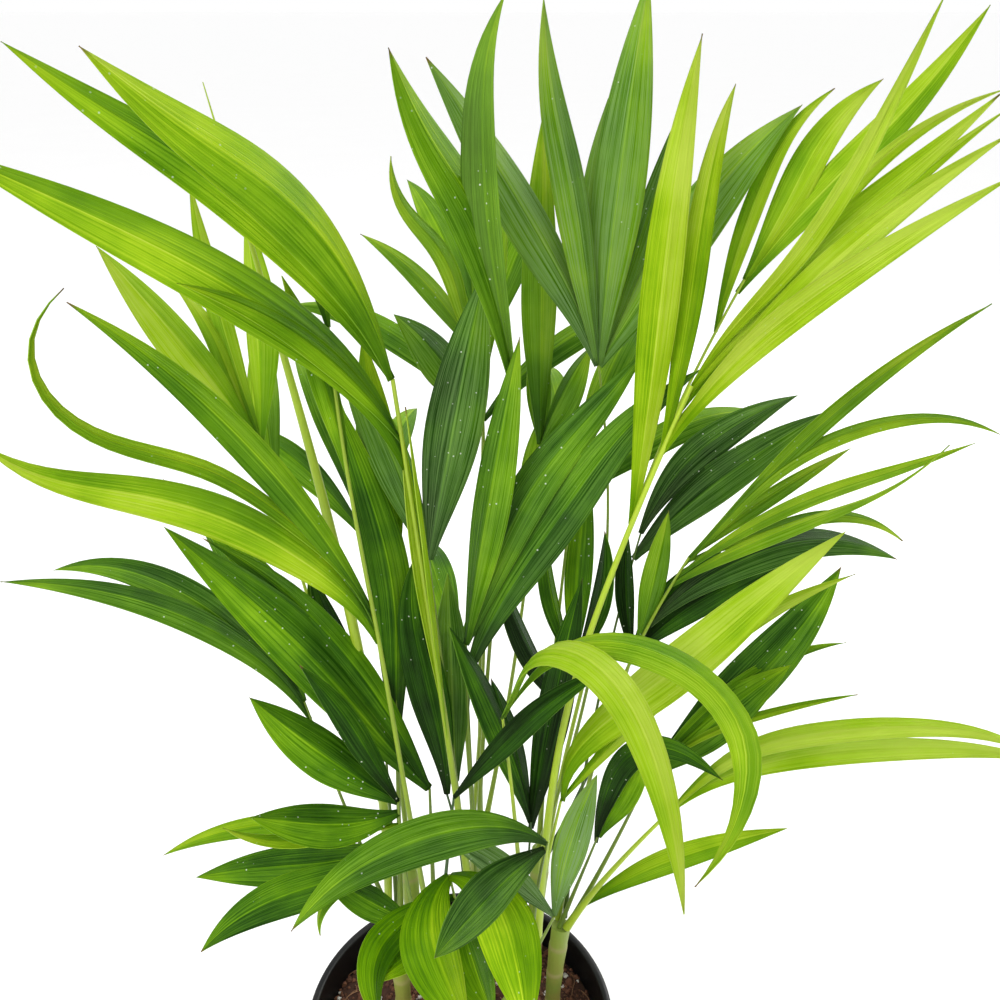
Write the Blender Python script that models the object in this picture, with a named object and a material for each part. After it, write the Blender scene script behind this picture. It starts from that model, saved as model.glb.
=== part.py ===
"""A young areca palm in its black nursery pot: a clump of slim canes, each with a few feather leaves.

Metres, +Z up. The origin is the middle of the pot's flat base, and -Y is the front.
The pot, the soil, every cane, every leaf and every unopened spear is an object of its own.
"""

import math

import bmesh
import bpy
from mathutils import Vector

MM = 0.001

# Pot
POT_HEIGHT = 150 * MM
RIM_RADIUS = 85 * MM
BASE_RADIUS = 60 * MM
POT_WALL = 1.6 * MM
POT_FLOOR = 2.4 * MM
RIM_BAND_HEIGHT = 16 * MM
RIM_BAND_STEP = 2.6 * MM
FOOT_BEVEL = 3 * MM
DRAIN_HOLES = 6
DRAIN_HOLE_RADIUS = 4 * MM
DRAIN_RING_SHARE = 0.72
DRAIN_HOLE_SIDES = 8
POT_SIDES = 48

# Soil
SOIL_BELOW_RIM = 18 * MM
SOIL_CROWN = 3 * MM

# Palm
PALM_HEIGHT = 533 * MM
DRAWN_HEIGHT = 533 * MM
GROWTH = PALM_HEIGHT / DRAWN_HEIGHT
CANE_ROOT_DEPTH = 40 * MM
CANE_RADIUS = 5.2 * MM
SOCKET_WALL = 1.4 * MM
CANE_SIDES = 10
CANE_STEPS = 4
STALK_RADIUS = 1.6 * MM
STALK_GAP = 0.6 * MM
STALK_TIP_SHARE = 0.45
STALK_SIDES = 6
STALK_STEPS = 7
BLADE_THICKNESS = 1.0 * MM
BLADE_STEPS = 6
BLADE_NECK_SHARE = 0.16
BLADE_SHOULDER_SHARE = 0.48
BASE_SLIMNESS = 1.2
TIP_SHARPNESS = 1.05
NECK_STEP = 0.5 * STALK_RADIUS
FOLD_SHARE = 0.1
SOCKET_DEPTH = 9 * MM
CLEARANCE = 0.3 * MM

SOIL_LEVEL = POT_HEIGHT - SOIL_BELOW_RIM
# Stalks stand in a ring, and those a sixth of a turn apart keep the gap.
STALK_RING_RADIUS = 2 * STALK_RADIUS + STALK_GAP
CANE_TOP_RADIUS = STALK_RING_RADIUS + STALK_RADIUS + SOCKET_WALL

# Each cane, in millimetres: its foot on the soil, and its top with the height above the soil.
CANES = {
    "cane_left": {"foot": (-32, 4), "top": (-34, 5, 98)},
    "cane_front_left": {"foot": (-13, -17), "top": (-13, -20, 104)},
    "cane_front": {"foot": (9, -30), "top": (11, -34, 64)},
    "cane_centre": {"foot": (9, 3), "top": (8, 2, 118)},
    "cane_front_right": {"foot": (35, -12), "top": (37, -15, 104)},
    "cane_right": {"foot": (52, 13), "top": (57, 17, 78)},
    "cane_back_right": {"foot": (42, 40), "top": (46, 43, 106)},
    "cane_back": {"foot": (9, 48), "top": (10, 51, 116)},
    "cane_back_left": {"foot": (-28, 40), "top": (-31, 45, 100)},
}

# Each leaf leaves its cane's top on one side. Heading and rise are in degrees, from foot to tip: heading
# turns from +X towards +Y, and rise is from level. Lengths and widths are in millimetres. A leaflet is
# (place along the stalk, heading, rise, length, width, roll), with its angles from neck to tip.
LEAVES = {
    "leaf_front_tall": {
        "cane": "cane_centre", "side": 250, "heading": 222, "rise": (84, 83), "length": 291,
        "leaflets": [
            (1.00, (178, 182), (63, 49, 32, 36), 168, 17, 60),
            (1.00, (223, 213, 200, 205), (77, 60, 35, 43), 149, 23, 60),
            (0.87, (191, 187), (76, 41, 29, 26), 194, 21, 60),
            (0.91, (199, 190), (62, 44, 16), 102, 9, 60),
            (0.36, 235, (86, 84, 80), 176, 12, 50),
            (0.42, 215, (86, 83, 84), 150, 10, 65),
        ],
    },
    "leaf_left_arching": {
        "cane": "cane_front_left", "side": 300, "heading": (219, 177, 101),
        "rise": (84, 85, 76), "length": 322,
        "leaflets": [
            (0.63, (188, 184), (68, 60, 50, 35), 168, 13, 60),
            (0.61, (183, 212), (80, 50, 47, 15, 63, 156), 201, 7, 50),
            (0.59, (197, 188), (76, 49, 40, 21, 12, 51), 175, 17, 60),
            (1.00, (130, 150), (78, 62), 60, 10, 40),
            (0.82, (140, 150), (80, 62), 80, 10, 30),
        ],
    },
    "spear_left": {
        "cane": "cane_left", "side": 210, "heading": (190, 161, 164, 183),
        "rise": (94, 84, 79, 79), "length": 413,
        "leaflets": [],
    },
    "leaf_left_fan": {
        "cane": "cane_front_left", "side": 215, "heading": 214, "rise": (78, 91), "length": 103,
        "leaflets": [
            (1.00, (181, 179), (38, 44, 49), 85, 21, 45),
            (0.94, 198, (-11, 21, 25), 68, 20, 35),
            (0.92, (171, 171), (-12, -14, -39), 131, 10, 40),
            (0.75, (177, 171), (-27, -10, -23), 109, 20, 35),
            (0.69, (197, 198), (-15, -4, -50), 103, 19, 40),
            (1.00, 172, (65, 65, 48), 82, 12, 45),
            (0.87, 194, (4, -1, 45), 81, 7, 30),
            (0.63, (185, 198), (-4, -36, -101), 66, 7, 30),
            (0.19, (192, 185), (44, 43), 60, 16, 35),
        ],
    },
    "leaf_front_hanging": {
        "cane": "cane_front", "side": 260, "heading": 231, "rise": (85, 79), "length": 123,
        "leaflets": [
            (1.00, (224, 298, 306), (-9, -43, -22), 67, 27, 10),
            (1.00, (337, 294, 282), (28, -48, -59), 81, 26, -10),
            (0.87, (188, 239, 315), (-12, -3, -64), 74, 16, 30),
            (0.72, (232, 219), (16, -9), 50, 12, 20),
            (0.78, 295, (-31, -39, -19), 46, 27, 25),
        ],
    },
    "leaf_back_left_upper": {
        "cane": "cane_back_left", "side": 150, "heading": (158, 147), "rise": (71, 77), "length": 250,
        "leaflets": [
            (1.00, 66, (80, 93), 109, 19, 0),
            (1.00, 138, (64, 84), 124, 11, 25),
            (0.97, 203, (65, 56), 123, 21, 60),
            (0.98, 152, (61, 72, 31), 95, 9, 40),
            (0.88, (110, 95), (60, 35, 0), 120, 16, 0),
        ],
    },
    "leaf_back_tall": {
        "cane": "cane_back", "side": 200, "heading": 4, "rise": (85, 92), "length": 274,
        "leaflets": [
            (1.00, (143, 158), (53, 41, 20), 81, 10, 35),
            (1.00, (146, 161), (58, 78, 34, 98), 97, 9, 45),
            (0.91, 163, (46, 53, 31), 60, 19, 45),
            (0.96, (80, 90), (72, 58, 40), 118, 16, 0),
        ],
    },
    "leaf_back_centre": {
        "cane": "cane_back", "side": 20, "heading": 23, "rise": (79, 86), "length": 230,
        "leaflets": [
            (1.00, 107, (88, 89), 148, 17, 0),
            (1.00, 93, (69, 68), 55, 12, 0),
            (1.00, 335, (72, 59), 57, 20, -50),
            (0.78, 60, (84, 80), 64, 16, -20),
        ],
    },
    "leaf_top": {
        "cane": "cane_back_right", "side": 200, "heading": -7, "rise": (74, 84, 100), "length": 289,
        "leaflets": [
            (1.00, 186, (72, 60, 57, 54), 142, 21, 60),
            (1.00, 200, (79, 80, 73, 87), 146, 16, 80),
            (1.00, 57, (85, 74), 154, 22, -20),
            (1.00, (28, 15), (52, 55, 49, 34), 137, 24, -45),
            (1.00, (124, 53), (74, 63), 113, 10, 0),
            (1.00, (50, 45), (62, 64), 119, 10, -30),
        ],
    },
    "leaf_centre_narrow": {
        "cane": "cane_centre", "side": 60, "heading": (73, 10), "rise": (85, 84), "length": 273,
        "leaflets": [
            (1.00, 229, (73, 75, 82, 91, 127), 150, 19, 0),
            (0.98, (233, 204, 197), (83, 79, 53, 71), 145, 25, 60),
        ],
    },
    "leaf_centre_broad": {
        "cane": "cane_centre", "side": 130, "heading": 168, "rise": (86, 85), "length": 195,
        "leaflets": [
            (1.00, 50, (74, 70), 127, 25, -35),
            (1.00, (160, 170), (76, 62), 104, 18, 40),
            (0.36, 100, (84, 82), 112, 18, 0),
        ],
    },
    "leaf_centre_pair": {
        "cane": "cane_centre", "side": 310, "heading": 166, "rise": (88, 89), "length": 155,
        "leaflets": [
            (1.00, (25, 18), (70, 68, 44, 50), 156, 19, -50),
            (0.89, 12, (73, 56, 56, 28), 176, 20, -60),
            (1.00, (20, 38), (82, 76), 142, 18, -30),
        ],
    },
    "leaf_right_tall": {
        "cane": "cane_front_right", "side": 350, "heading": 17, "rise": (88, 85, 72, 68), "length": 300,
        "leaflets": [
            (1.00, 346, (67, 51, 63, 71, 71), 156, 8, -55),
            (0.99, 355, (59, 53, 42, 45), 148, 12, -55),
            (0.96, (28, 17), (47, 51, 12), 185, 7, -50),
            (0.94, 11, (50, 47, 33), 168, 8, -50),
            (0.92, 343, (59, 52, 35), 159, 12, -60),
            (0.90, 338, (66, 44, 34), 157, 12, -60),
            (0.79, 67, (70, 82, 55), 196, 16, -20),
            (0.90, 66, (51, 81, 30), 159, 11, -20),
        ],
    },
    "leaf_right_behind": {
        "cane": "cane_back_right", "side": 50, "heading": (36, -2), "rise": (80, 77, 65), "length": 329,
        "leaflets": [
            (0.92, 10, (83, 77, 69, 31), 114, 9, -60),
            (1.00, 22, (59, 65, 25), 103, 15, -45),
            (0.98, 8, (56, 44, 58), 150, 15, -60),
        ],
    },
    "leaf_right_dark": {
        "cane": "cane_right", "side": 75, "heading": (65, 38), "rise": (81, 72), "length": 226,
        "leaflets": [
            (1.00, (39, 24), (61, 23, 9), 116, 17, -40),
            (0.94, 18, (48, 31, 24), 121, 20, -50),
        ],
    },
    "leaf_right_long": {
        "cane": "cane_right", "side": 140, "heading": (15, 20), "rise": (83, 79, 57), "length": 229,
        "leaflets": [
            (1.00, 5, (51, 51, 41, 30), 173, 8, -50),
            (0.98, 4, (52, 53, 26, 4, -31), 173, 7, -50),
            (0.93, 344, (44, 35, 29, 58), 139, 10, (-55, 30)),
            (0.95, 355, (48, 35, 21, 26), 145, 7, -50),
            (0.99, 10, (22, 12, -46), 119, 7, -40),
            (1.00, 21, (35, 26, 20), 96, 8, -40),
            (0.83, 13, (50, 29, 12, -15, -33), 145, 18, -35),
            (0.78, 40, (76, 80), 70, 12, -40),
        ],
    },
    "leaf_front_lime": {
        "cane": "cane_front_right", "side": 80, "heading": 8, "rise": 81, "length": 87,
        "leaflets": [
            (1.00, (352, 351, 352), (98, 52, 46, 52, 51, 47), 193, 21, (-40, -65, -70)),
            (1.00, (5, 5), (56, 49, 19), 177, 10, -60),
        ],
    },
    "leaf_right_broad": {
        "cane": "cane_right", "side": 0, "heading": 7, "rise": (67, 72), "length": 107,
        "leaflets": [
            (1.00, 17, (37, 45, 66), 145, 27, -60),
            (1.00, 9, (42, 45, 34), 92, 22, -35),
            (1.00, 3, (53, 19, 8), 115, 4, -50),
            (1.00, (21, 11), (54, 36, -3), 127, 7, -50),
        ],
    },
    "leaf_front_arching": {
        "cane": "cane_front_right", "side": 210, "heading": 228, "rise": (87, 81), "length": 152,
        "leaflets": [
            (1.00, (287, 309, 313, 313, 294, 278), (58, 74, 18, -51, -59, -59), 184, 15, -20),
            (1.00, (323, 335, 337, 337, 241, 203), (67, 59, 3, -36, -59, -39), 199, 15, -15),
        ],
    },
    "leaf_low_right": {
        "cane": "cane_right", "side": 295, "heading": (-15, 0), "rise": (68, 54), "length": 102,
        "leaflets": [
            (1.00, 347, (64, 54, 23, 16, 3, -31), 190, 11, -35),
            (1.00, 355, (57, 25, 10, 2, -16), 191, 12, -30),
            (0.20, (2, 3), (44, 23, 13), 118, 13, -50),
        ],
    },
    "leaf_left_low": {
        "cane": "cane_left", "side": 150, "heading": 156, "rise": (70, 74), "length": 132,
        "leaflets": [
            (0.92, (186, 183), (71, 43, 20, 1), 167, 13, 50),
            (1.00, 170, (57, 45, 18, -22), 149, 16, 50),
            (1.00, 140, (64, 50, 30), 120, 16, 30),
        ],
    },
    "leaf_left_broad": {
        "cane": "cane_front_left", "side": 60, "heading": 93, "rise": (84, 86), "length": 93,
        "leaflets": [
            (1.00, 180, (51, 61, 54, 48, 48), 177, 26, 60),
            (1.00, 169, (70, 61, 48, 23), 164, 14, 50),
        ],
    },
    "leaf_left_upright": {
        "cane": "cane_left", "side": 330, "heading": 58, "rise": (87, 88), "length": 193,
        "leaflets": [
            (0.57, 180, (91, 93, 77, 72), 190, 19, 75),
            (1.00, 115, (81, 77), 119, 19, 25),
        ],
    },
    "leaf_front_low": {
        "cane": "cane_front_right", "side": 280, "heading": 279, "rise": (79, 66), "length": 105,
        "leaflets": [
            (1.00, (212, 209, 219), (53, 29, 7, -7, -43), 130, 19, 35),
            (0.93, (231, 246), (15, 9, 17), 87, 19, 45),
        ],
    },
    "leaf_rear_tall": {
        "cane": "cane_back", "side": 80, "heading": 86, "rise": (86, 72), "length": 270,
        "leaflets": [
            (1.00, 90, (66, 40, 5), 150, 19, 0),
            (0.98, (122, 112), (62, 38, 8), 125, 17, 30),
            (0.98, (62, 68), (60, 36, 5), 128, 17, -30),
            (0.86, (165, 150), (55, 25, -15), 130, 16, 30),
            (0.86, (20, 35), (52, 22, -18), 130, 16, -30),
        ],
    },
    "leaf_rear_left": {
        "cane": "cane_back_left", "side": 80, "heading": 112, "rise": (80, 62), "length": 196,
        "leaflets": [
            (1.00, 115, (56, 28, -12), 140, 19, 0),
            (0.94, (148, 138), (48, 20, -20), 125, 17, 30),
            (0.94, (70, 85), (48, 20, -20), 120, 17, -30),
        ],
    },
    "leaf_rear_right": {
        "cane": "cane_back_right", "side": 120, "heading": 74, "rise": (82, 62), "length": 214,
        "leaflets": [
            (1.00, 62, (58, 30, -8), 145, 20, 0),
            (0.93, (100, 90), (48, 22, -20), 125, 17, 30),
            (0.93, (10, 30), (44, 20, -22), 130, 17, -30),
        ],
    },
    "leaf_rear_low": {
        "cane": "cane_back", "side": 140, "heading": 100, "rise": (66, 48), "length": 96,
        "leaflets": [
            (1.00, (108, 100), (32, 8, -30), 128, 21, 20),
            (1.00, (62, 72), (32, 8, -30), 126, 20, -20),
        ],
    },
    "leaf_middle_dark": {
        "cane": "cane_centre", "side": 190, "heading": 192, "rise": (88, 78), "length": 68,
        "leaflets": [
            (1.00, 167, (89, 79, 80, 102), 132, 19, 70),
        ],
    },
    "leaf_middle_long": {
        "cane": "cane_front_left", "side": 0, "heading": 307, "rise": (81, 81), "length": 112,
        "leaflets": [
            (1.00, (-4, -2), (56, 52, 32), 99, 11, -60),
        ],
    },
    "leaf_centre_upright": {
        "cane": "cane_back_right", "side": 270, "heading": 311, "rise": (81, 84), "length": 140,
        "leaflets": [
            (1.00, 165, (66, 78, 93), 79, 11, 30),
            (1.00, 58, (94, 85, 81), 103, 13, -20),
            (1.00, 25, (60, 80, 97), 72, 12, -20),
            (0.78, (190, 172), (60, 74), 92, 15, 30),
        ],
    },
    "leaf_right_inner": {
        "cane": "cane_back_right", "side": 335, "heading": -6, "rise": (69, 79), "length": 141,
        "leaflets": [
            (1.00, 9, (51, 31, 9), 94, 16, -55),
            (1.00, 35, (70, 30, 13), 73, 11, -45),
            (1.00, 104, (53, 97), 65, 10, 0),
        ],
    },
    "leaf_right_low": {
        "cane": "cane_right", "side": 230, "heading": 354, "rise": 75, "length": 70,
        "leaflets": [
            (1.00, -2, (79, 60), 68, 21, -50),
            (0.94, (355, 349, 341, 336), (90, 80, 76, 44, -20, -33), 113, 14, -55),
        ],
    },
    "leaf_front_under": {
        "cane": "cane_front", "side": 320, "heading": 338, "rise": (66, 73), "length": 101,
        "leaflets": [
            (1.00, (165, 173), (49, 42, 13), 68, 13, 40),
            (1.00, (25, 10), (84, 71), 81, 15, -50),
        ],
    },
    "leaf_centre_low": {
        "cane": "cane_front_right", "side": 145, "heading": 69, "rise": 82, "length": 68,
        "leaflets": [
            (1.00, (185, 196), (81, 71, 66), 126, 17, 45),
            (1.00, (161, 161), (81, 71), 84, 15, 30),
            (0.94, (42, 36), (80, 76), 136, 17, -30),
        ],
    },
    "leaf_left_inner": {
        "cane": "cane_left", "side": 75, "heading": 111, "rise": 88, "length": 115,
        "leaflets": [
            (1.00, 172, (64, 73, 75), 95, 13, 45),
            (1.00, 168, (65, 50, 45), 161, 13, 50),
            (0.90, 166, (55, 89), 105, 10, 30),
        ],
    },
}


def clear_scene():
    for obj in list(bpy.data.objects):
        bpy.data.objects.remove(obj, do_unlink=True)


def finish(name, colour, roughness):
    """A Principled material with one colour and roughness."""
    material = bpy.data.materials.new(name)
    material.use_nodes = True
    shader = material.node_tree.nodes["Principled BSDF"]
    shader.inputs["Base Color"].default_value = (*colour, 1)
    shader.inputs["Roughness"].default_value = roughness
    shader.inputs["Metallic"].default_value = 0
    return material


def add_object(name, mesh_builder, material):
    """An object at the origin from a filled bmesh, with its normals pointing out."""
    bmesh.ops.recalc_face_normals(mesh_builder, faces=mesh_builder.faces)
    mesh = bpy.data.meshes.new(name)
    mesh_builder.to_mesh(mesh)
    mesh_builder.free()
    mesh.materials.append(material)
    mesh.shade_smooth()
    mesh.set_sharp_from_angle(angle=math.radians(35))
    obj = bpy.data.objects.new(name, mesh)
    bpy.context.scene.collection.objects.link(obj)
    return obj


def hide_helper(obj):
    obj.hide_render = True
    obj.display_type = "WIRE"


def cut_or_join(obj, helper, operation, solver="EXACT"):
    hide_helper(helper)
    modifier = obj.modifiers.new(helper.name, "BOOLEAN")
    modifier.operation = operation
    modifier.solver = solver
    modifier.object = helper


def turned(name, profile, sides, material):
    """A solid of revolution: profile is a closed loop of (radius, height), or runs from axis to axis."""
    builder = bmesh.new()
    rings = []
    for radius, height in profile:
        if radius == 0:
            rings.append([builder.verts.new((0, 0, height))] * sides)
            continue
        turns = [math.tau * side / sides for side in range(sides)]
        places = [(radius * math.cos(turn), radius * math.sin(turn), height) for turn in turns]
        rings.append([builder.verts.new(place) for place in places])
    bridge_rings(builder, rings)
    return add_object(name, builder, material)


def bridge_rings(builder, rings):
    """Faces between neighbouring rings, where a ring that is one repeated vertex closes to a point."""
    for ring, following in zip(rings, rings[1:]):
        count = len(ring)
        for side in range(count):
            beside = (side + 1) % count
            corners = [ring[side], ring[beside], following[beside], following[side]]
            distinct = list(dict.fromkeys(corners))
            builder.faces.new(distinct)


def bridge_blade_rings(builder, rings):
    """Triangles between a blade's rings, split alike on both faces, so that they never cross in a twist."""
    for ring, following in zip(rings, rings[1:]):
        for side in range(len(ring)):
            beside = (side + 1) % len(ring)
            edge, middle = (side, beside) if side % 2 == 0 else (beside, side)
            builder.faces.new((ring[side], ring[beside], following[middle]))
            if following is not rings[-1]:
                builder.faces.new((ring[edge], following[beside], following[side]))


def value_at(values, share):
    """The value at a share of the way through a sequence of evenly spaced values, or the one value given."""
    if isinstance(values, (int, float)):
        return values
    place = min(max(share, 0), 1) * (len(values) - 1)
    before = min(int(place), len(values) - 2)
    return values[before] + (values[before + 1] - values[before]) * (place - before)


def frame_at(heading, rise, roll):
    """The forward, across and upper directions of a stalk or a blade, from its angles in degrees."""
    turn, lift, twist = math.radians(heading), math.radians(rise), math.radians(roll)
    forward = Vector((math.cos(lift) * math.cos(turn), math.cos(lift) * math.sin(turn), math.sin(lift)))
    level = Vector((math.sin(turn), -math.cos(turn), 0))
    above = Vector((-math.sin(lift) * math.cos(turn), -math.sin(lift) * math.sin(turn), math.cos(lift)))
    across = level * math.cos(twist) + above * math.sin(twist)
    upper = above * math.cos(twist) - level * math.sin(twist)
    return forward, across, upper


def curve_from(start, heading, rise, roll, length, steps):
    """Points along a curve whose heading and rise change on the way, each with its three directions."""
    finer = 4
    point = Vector(start)
    stations = []
    for step in range(steps * finer + 1):
        share = step / (steps * finer)
        directions = frame_at(value_at(heading, share), value_at(rise, share), value_at(roll, share))
        if step % finer == 0:
            stations.append((share, point.copy(), *directions))
        half_on = share + 0.5 / (steps * finer)
        onward = frame_at(value_at(heading, half_on), value_at(rise, half_on), 0)[0]
        point += onward * length / (steps * finer)
    return stations


def swept(name, stations, radius_at, sides, material):
    """A round bar along the stations, closed at both ends."""
    builder = bmesh.new()
    rings = []
    for share, point, _, across, upper in stations:
        turns = [math.tau * side / sides for side in range(sides)]
        radius = radius_at(share)
        edges = [(across * math.cos(turn) + upper * math.sin(turn)) * radius for turn in turns]
        rings.append([builder.verts.new(point + edge) for edge in edges])
    bridge_rings(builder, rings)
    builder.faces.new(rings[0])
    builder.faces.new(rings[-1])
    return add_object(name, builder, material)


def blade_breadth(share):
    """How wide a leaflet is along its length, as a share of its full width."""
    if share < BLADE_SHOULDER_SHARE:
        climb = (share / BLADE_SHOULDER_SHARE) ** BASE_SLIMNESS
        return BLADE_NECK_SHARE + (1 - BLADE_NECK_SHARE) * math.sin(climb * math.pi / 2)
    past_shoulder = (share - BLADE_SHOULDER_SHARE) / (1 - BLADE_SHOULDER_SHARE)
    return (1 - past_shoulder ** 2) ** TIP_SHARPNESS


def blade(name, stations, width, material):
    """A leaflet: a thin strip folded a little along its middle, which narrows to a point."""
    builder = bmesh.new()
    rings = []
    for share, point, _, across, upper in stations[:-1]:
        half = width / 2 * blade_breadth(share)
        fold = width * FOLD_SHARE * blade_breadth(share)
        edges = [point - across * half, point + across * half]
        ridge = point - upper * (fold - BLADE_THICKNESS / 2)
        keel = point - upper * (fold + BLADE_THICKNESS / 2)
        rings.append([builder.verts.new(place) for place in (edges[0], ridge, edges[1], keel)])
    rings.append([builder.verts.new(stations[-1][1])] * 4)
    bridge_blade_rings(builder, rings)
    builder.faces.new(rings[0])
    return add_object(name, builder, material)


def soil_place(x, y, height):
    """A place given in millimetres from the middle of the soil, grown with the palm."""
    return Vector((x, y, height)) * MM * GROWTH + Vector((0, 0, SOIL_LEVEL))


def leaf_foot(leaf):
    """Where a leaf's stalk starts, sunk in the top of its cane near the cane's edge."""
    side = math.radians(leaf["side"])
    x, y, height = CANES[leaf["cane"]]["top"]
    inward = Vector((STALK_RING_RADIUS * math.cos(side), STALK_RING_RADIUS * math.sin(side), -SOCKET_DEPTH))
    return soil_place(x, y, height) + inward


def stalk_radius_at(share):
    return STALK_RADIUS * (1 - (1 - STALK_TIP_SHARE) * share)


def stalk_stations(leaf, steps):
    return curve_from(leaf_foot(leaf), leaf["heading"], leaf["rise"], 0, leaf["length"] * MM * GROWTH, steps)


def make_leaf(name, leaf, material):
    """One feather leaf: its stalk, and its leaflets joined to it."""
    stalk = swept(name, stalk_stations(leaf, STALK_STEPS), stalk_radius_at, STALK_SIDES, material)
    fine_steps = 200
    along = stalk_stations(leaf, fine_steps)
    for number, (place, heading, rise, length, width, roll) in enumerate(leaf["leaflets"], 1):
        share = place - number * NECK_STEP / (leaf["length"] * MM * GROWTH)
        neck = along[round(share * fine_steps)][1]
        stations = curve_from(neck, heading, rise, roll, length * MM * GROWTH, BLADE_STEPS)
        leaflet = blade(f"{name}_leaflet_{number}", stations, width * MM * GROWTH, material)
        # Many thin blades meet the stalk at sharp angles here, which only the manifold solver joins whole.
        cut_or_join(stalk, leaflet, "UNION", "MANIFOLD")
    return stalk


def wall_radius(height):
    """The pot's outer radius, which widens evenly from the base to the rim's band."""
    band_foot = POT_HEIGHT - RIM_BAND_HEIGHT
    return BASE_RADIUS + (RIM_RADIUS - RIM_BAND_STEP - BASE_RADIUS) * height / band_foot


def inner_radius(height):
    return wall_radius(min(height, POT_HEIGHT - RIM_BAND_HEIGHT)) - POT_WALL


def make_pot(material):
    """A thin moulded pot with a banded rim and drain holes in its floor."""
    band_foot = POT_HEIGHT - RIM_BAND_HEIGHT
    lip = 0.8 * MM
    profile = [
        (0, 0),
        (BASE_RADIUS - FOOT_BEVEL, 0),
        (wall_radius(FOOT_BEVEL), FOOT_BEVEL),
        (wall_radius(band_foot), band_foot),
        (RIM_RADIUS, band_foot + 1 * MM),
        (RIM_RADIUS, POT_HEIGHT - lip),
        (RIM_RADIUS - lip, POT_HEIGHT),
        (inner_radius(POT_HEIGHT) + lip, POT_HEIGHT),
        (inner_radius(POT_HEIGHT), POT_HEIGHT - lip),
        (inner_radius(band_foot), band_foot),
        (inner_radius(POT_FLOOR), POT_FLOOR),
        (0, POT_FLOOR),
    ]
    pot = turned("pot", profile, POT_SIDES, material)
    for number in range(DRAIN_HOLES):
        around = math.tau * (number / DRAIN_HOLES + 0.5 / POT_SIDES)
        centre = Vector((math.cos(around), math.sin(around), 0)) * BASE_RADIUS * DRAIN_RING_SHARE
        drill = [
            (0, -POT_FLOOR),
            (DRAIN_HOLE_RADIUS, -POT_FLOOR),
            (DRAIN_HOLE_RADIUS, 2 * POT_FLOOR),
            (0, 2 * POT_FLOOR),
        ]
        hole = turned(f"drain_cutter_{number + 1}", drill, DRAIN_HOLE_SIDES, material)
        hole.location = centre
        cut_or_join(pot, hole, "DIFFERENCE")
    return pot


def cane_stations(cane, steps, sink):
    """Stations up a cane, from its sunk end, which leans in as the pot does, to its top."""
    foot = soil_place(*cane["foot"], 0)
    top = soil_place(*cane["top"])
    lean = top - foot
    stations = []
    for step in range(steps + 1):
        share = step / steps
        point = Vector((foot.x + lean.x * share ** 2, foot.y + lean.y * share ** 2, foot.z + lean.z * share))
        if step == 0:
            taper = inner_radius(SOIL_LEVEL - sink) / inner_radius(SOIL_LEVEL)
            point = Vector((foot.x * taper, foot.y * taper, foot.z - sink))
        stations.append((share, point, Vector((0, 0, 1)), Vector((1, 0, 0)), Vector((0, 1, 0))))
    return stations


def cane_radius_at(share):
    return CANE_RADIUS + (CANE_TOP_RADIUS - CANE_RADIUS) * share ** 2


def hole_radius_at(share):
    return cane_radius_at(share) + CLEARANCE


def make_soil(canes, material):
    """The root ball: a slightly crowned solid that fills the pot, with a hole for each cane."""
    edge = inner_radius(SOIL_LEVEL - SOIL_CROWN) - CLEARANCE
    floor = POT_FLOOR + CLEARANCE
    profile = [
        (0, floor),
        (inner_radius(floor) - CLEARANCE, floor),
        (edge, SOIL_LEVEL - SOIL_CROWN),
        (edge * 0.8, SOIL_LEVEL - SOIL_CROWN * 0.3),
        (0, SOIL_LEVEL),
    ]
    soil = turned("soil", profile, POT_SIDES, material)
    for name, cane in canes.items():
        stations = cane_stations(cane, CANE_STEPS, CANE_ROOT_DEPTH + CLEARANCE)
        hole = swept(f"{name}_hole_cutter", stations, hole_radius_at, CANE_SIDES, material)
        cut_or_join(soil, hole, "DIFFERENCE")
    return soil


def socket_radius_at(share):
    return stalk_radius_at(share) + CLEARANCE


def make_cane(name, cane, material):
    """A cane with a socket in its top for each of its leaves' stalks."""
    obj = swept(name, cane_stations(cane, CANE_STEPS, CANE_ROOT_DEPTH), cane_radius_at, CANE_SIDES, material)
    for leaf_name, leaf in LEAVES.items():
        if leaf["cane"] != name:
            continue
        foot, following = stalk_stations(leaf, STALK_STEPS)[:2]
        share, start, forward, across, upper = foot
        stations = [(share, start - forward * CLEARANCE, forward, across, upper), following]
        socket = swept(f"{leaf_name}_socket_cutter", stations, socket_radius_at, STALK_SIDES, material)
        cut_or_join(obj, socket, "DIFFERENCE")
    return obj


clear_scene()
pot_plastic = finish("pot_black_plastic", (0.012, 0.013, 0.014), 0.4)
potting_soil = finish("potting_soil", (0.075, 0.035, 0.02), 0.95)
cane_green = finish("cane_green", (0.3, 0.36, 0.07), 0.5)
leaf_green = finish("leaf_green", (0.07, 0.2, 0.02), 0.4)
make_pot(pot_plastic)
make_soil(CANES, potting_soil)
for cane_name, cane_sizes in CANES.items():
    make_cane(cane_name, cane_sizes, cane_green)
for leaf_name, leaf_sizes in LEAVES.items():
    make_leaf(leaf_name, leaf_sizes, leaf_green)
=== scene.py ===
import math
from collections import namedtuple

import bmesh
import bpy
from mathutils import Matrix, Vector, noise


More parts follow.
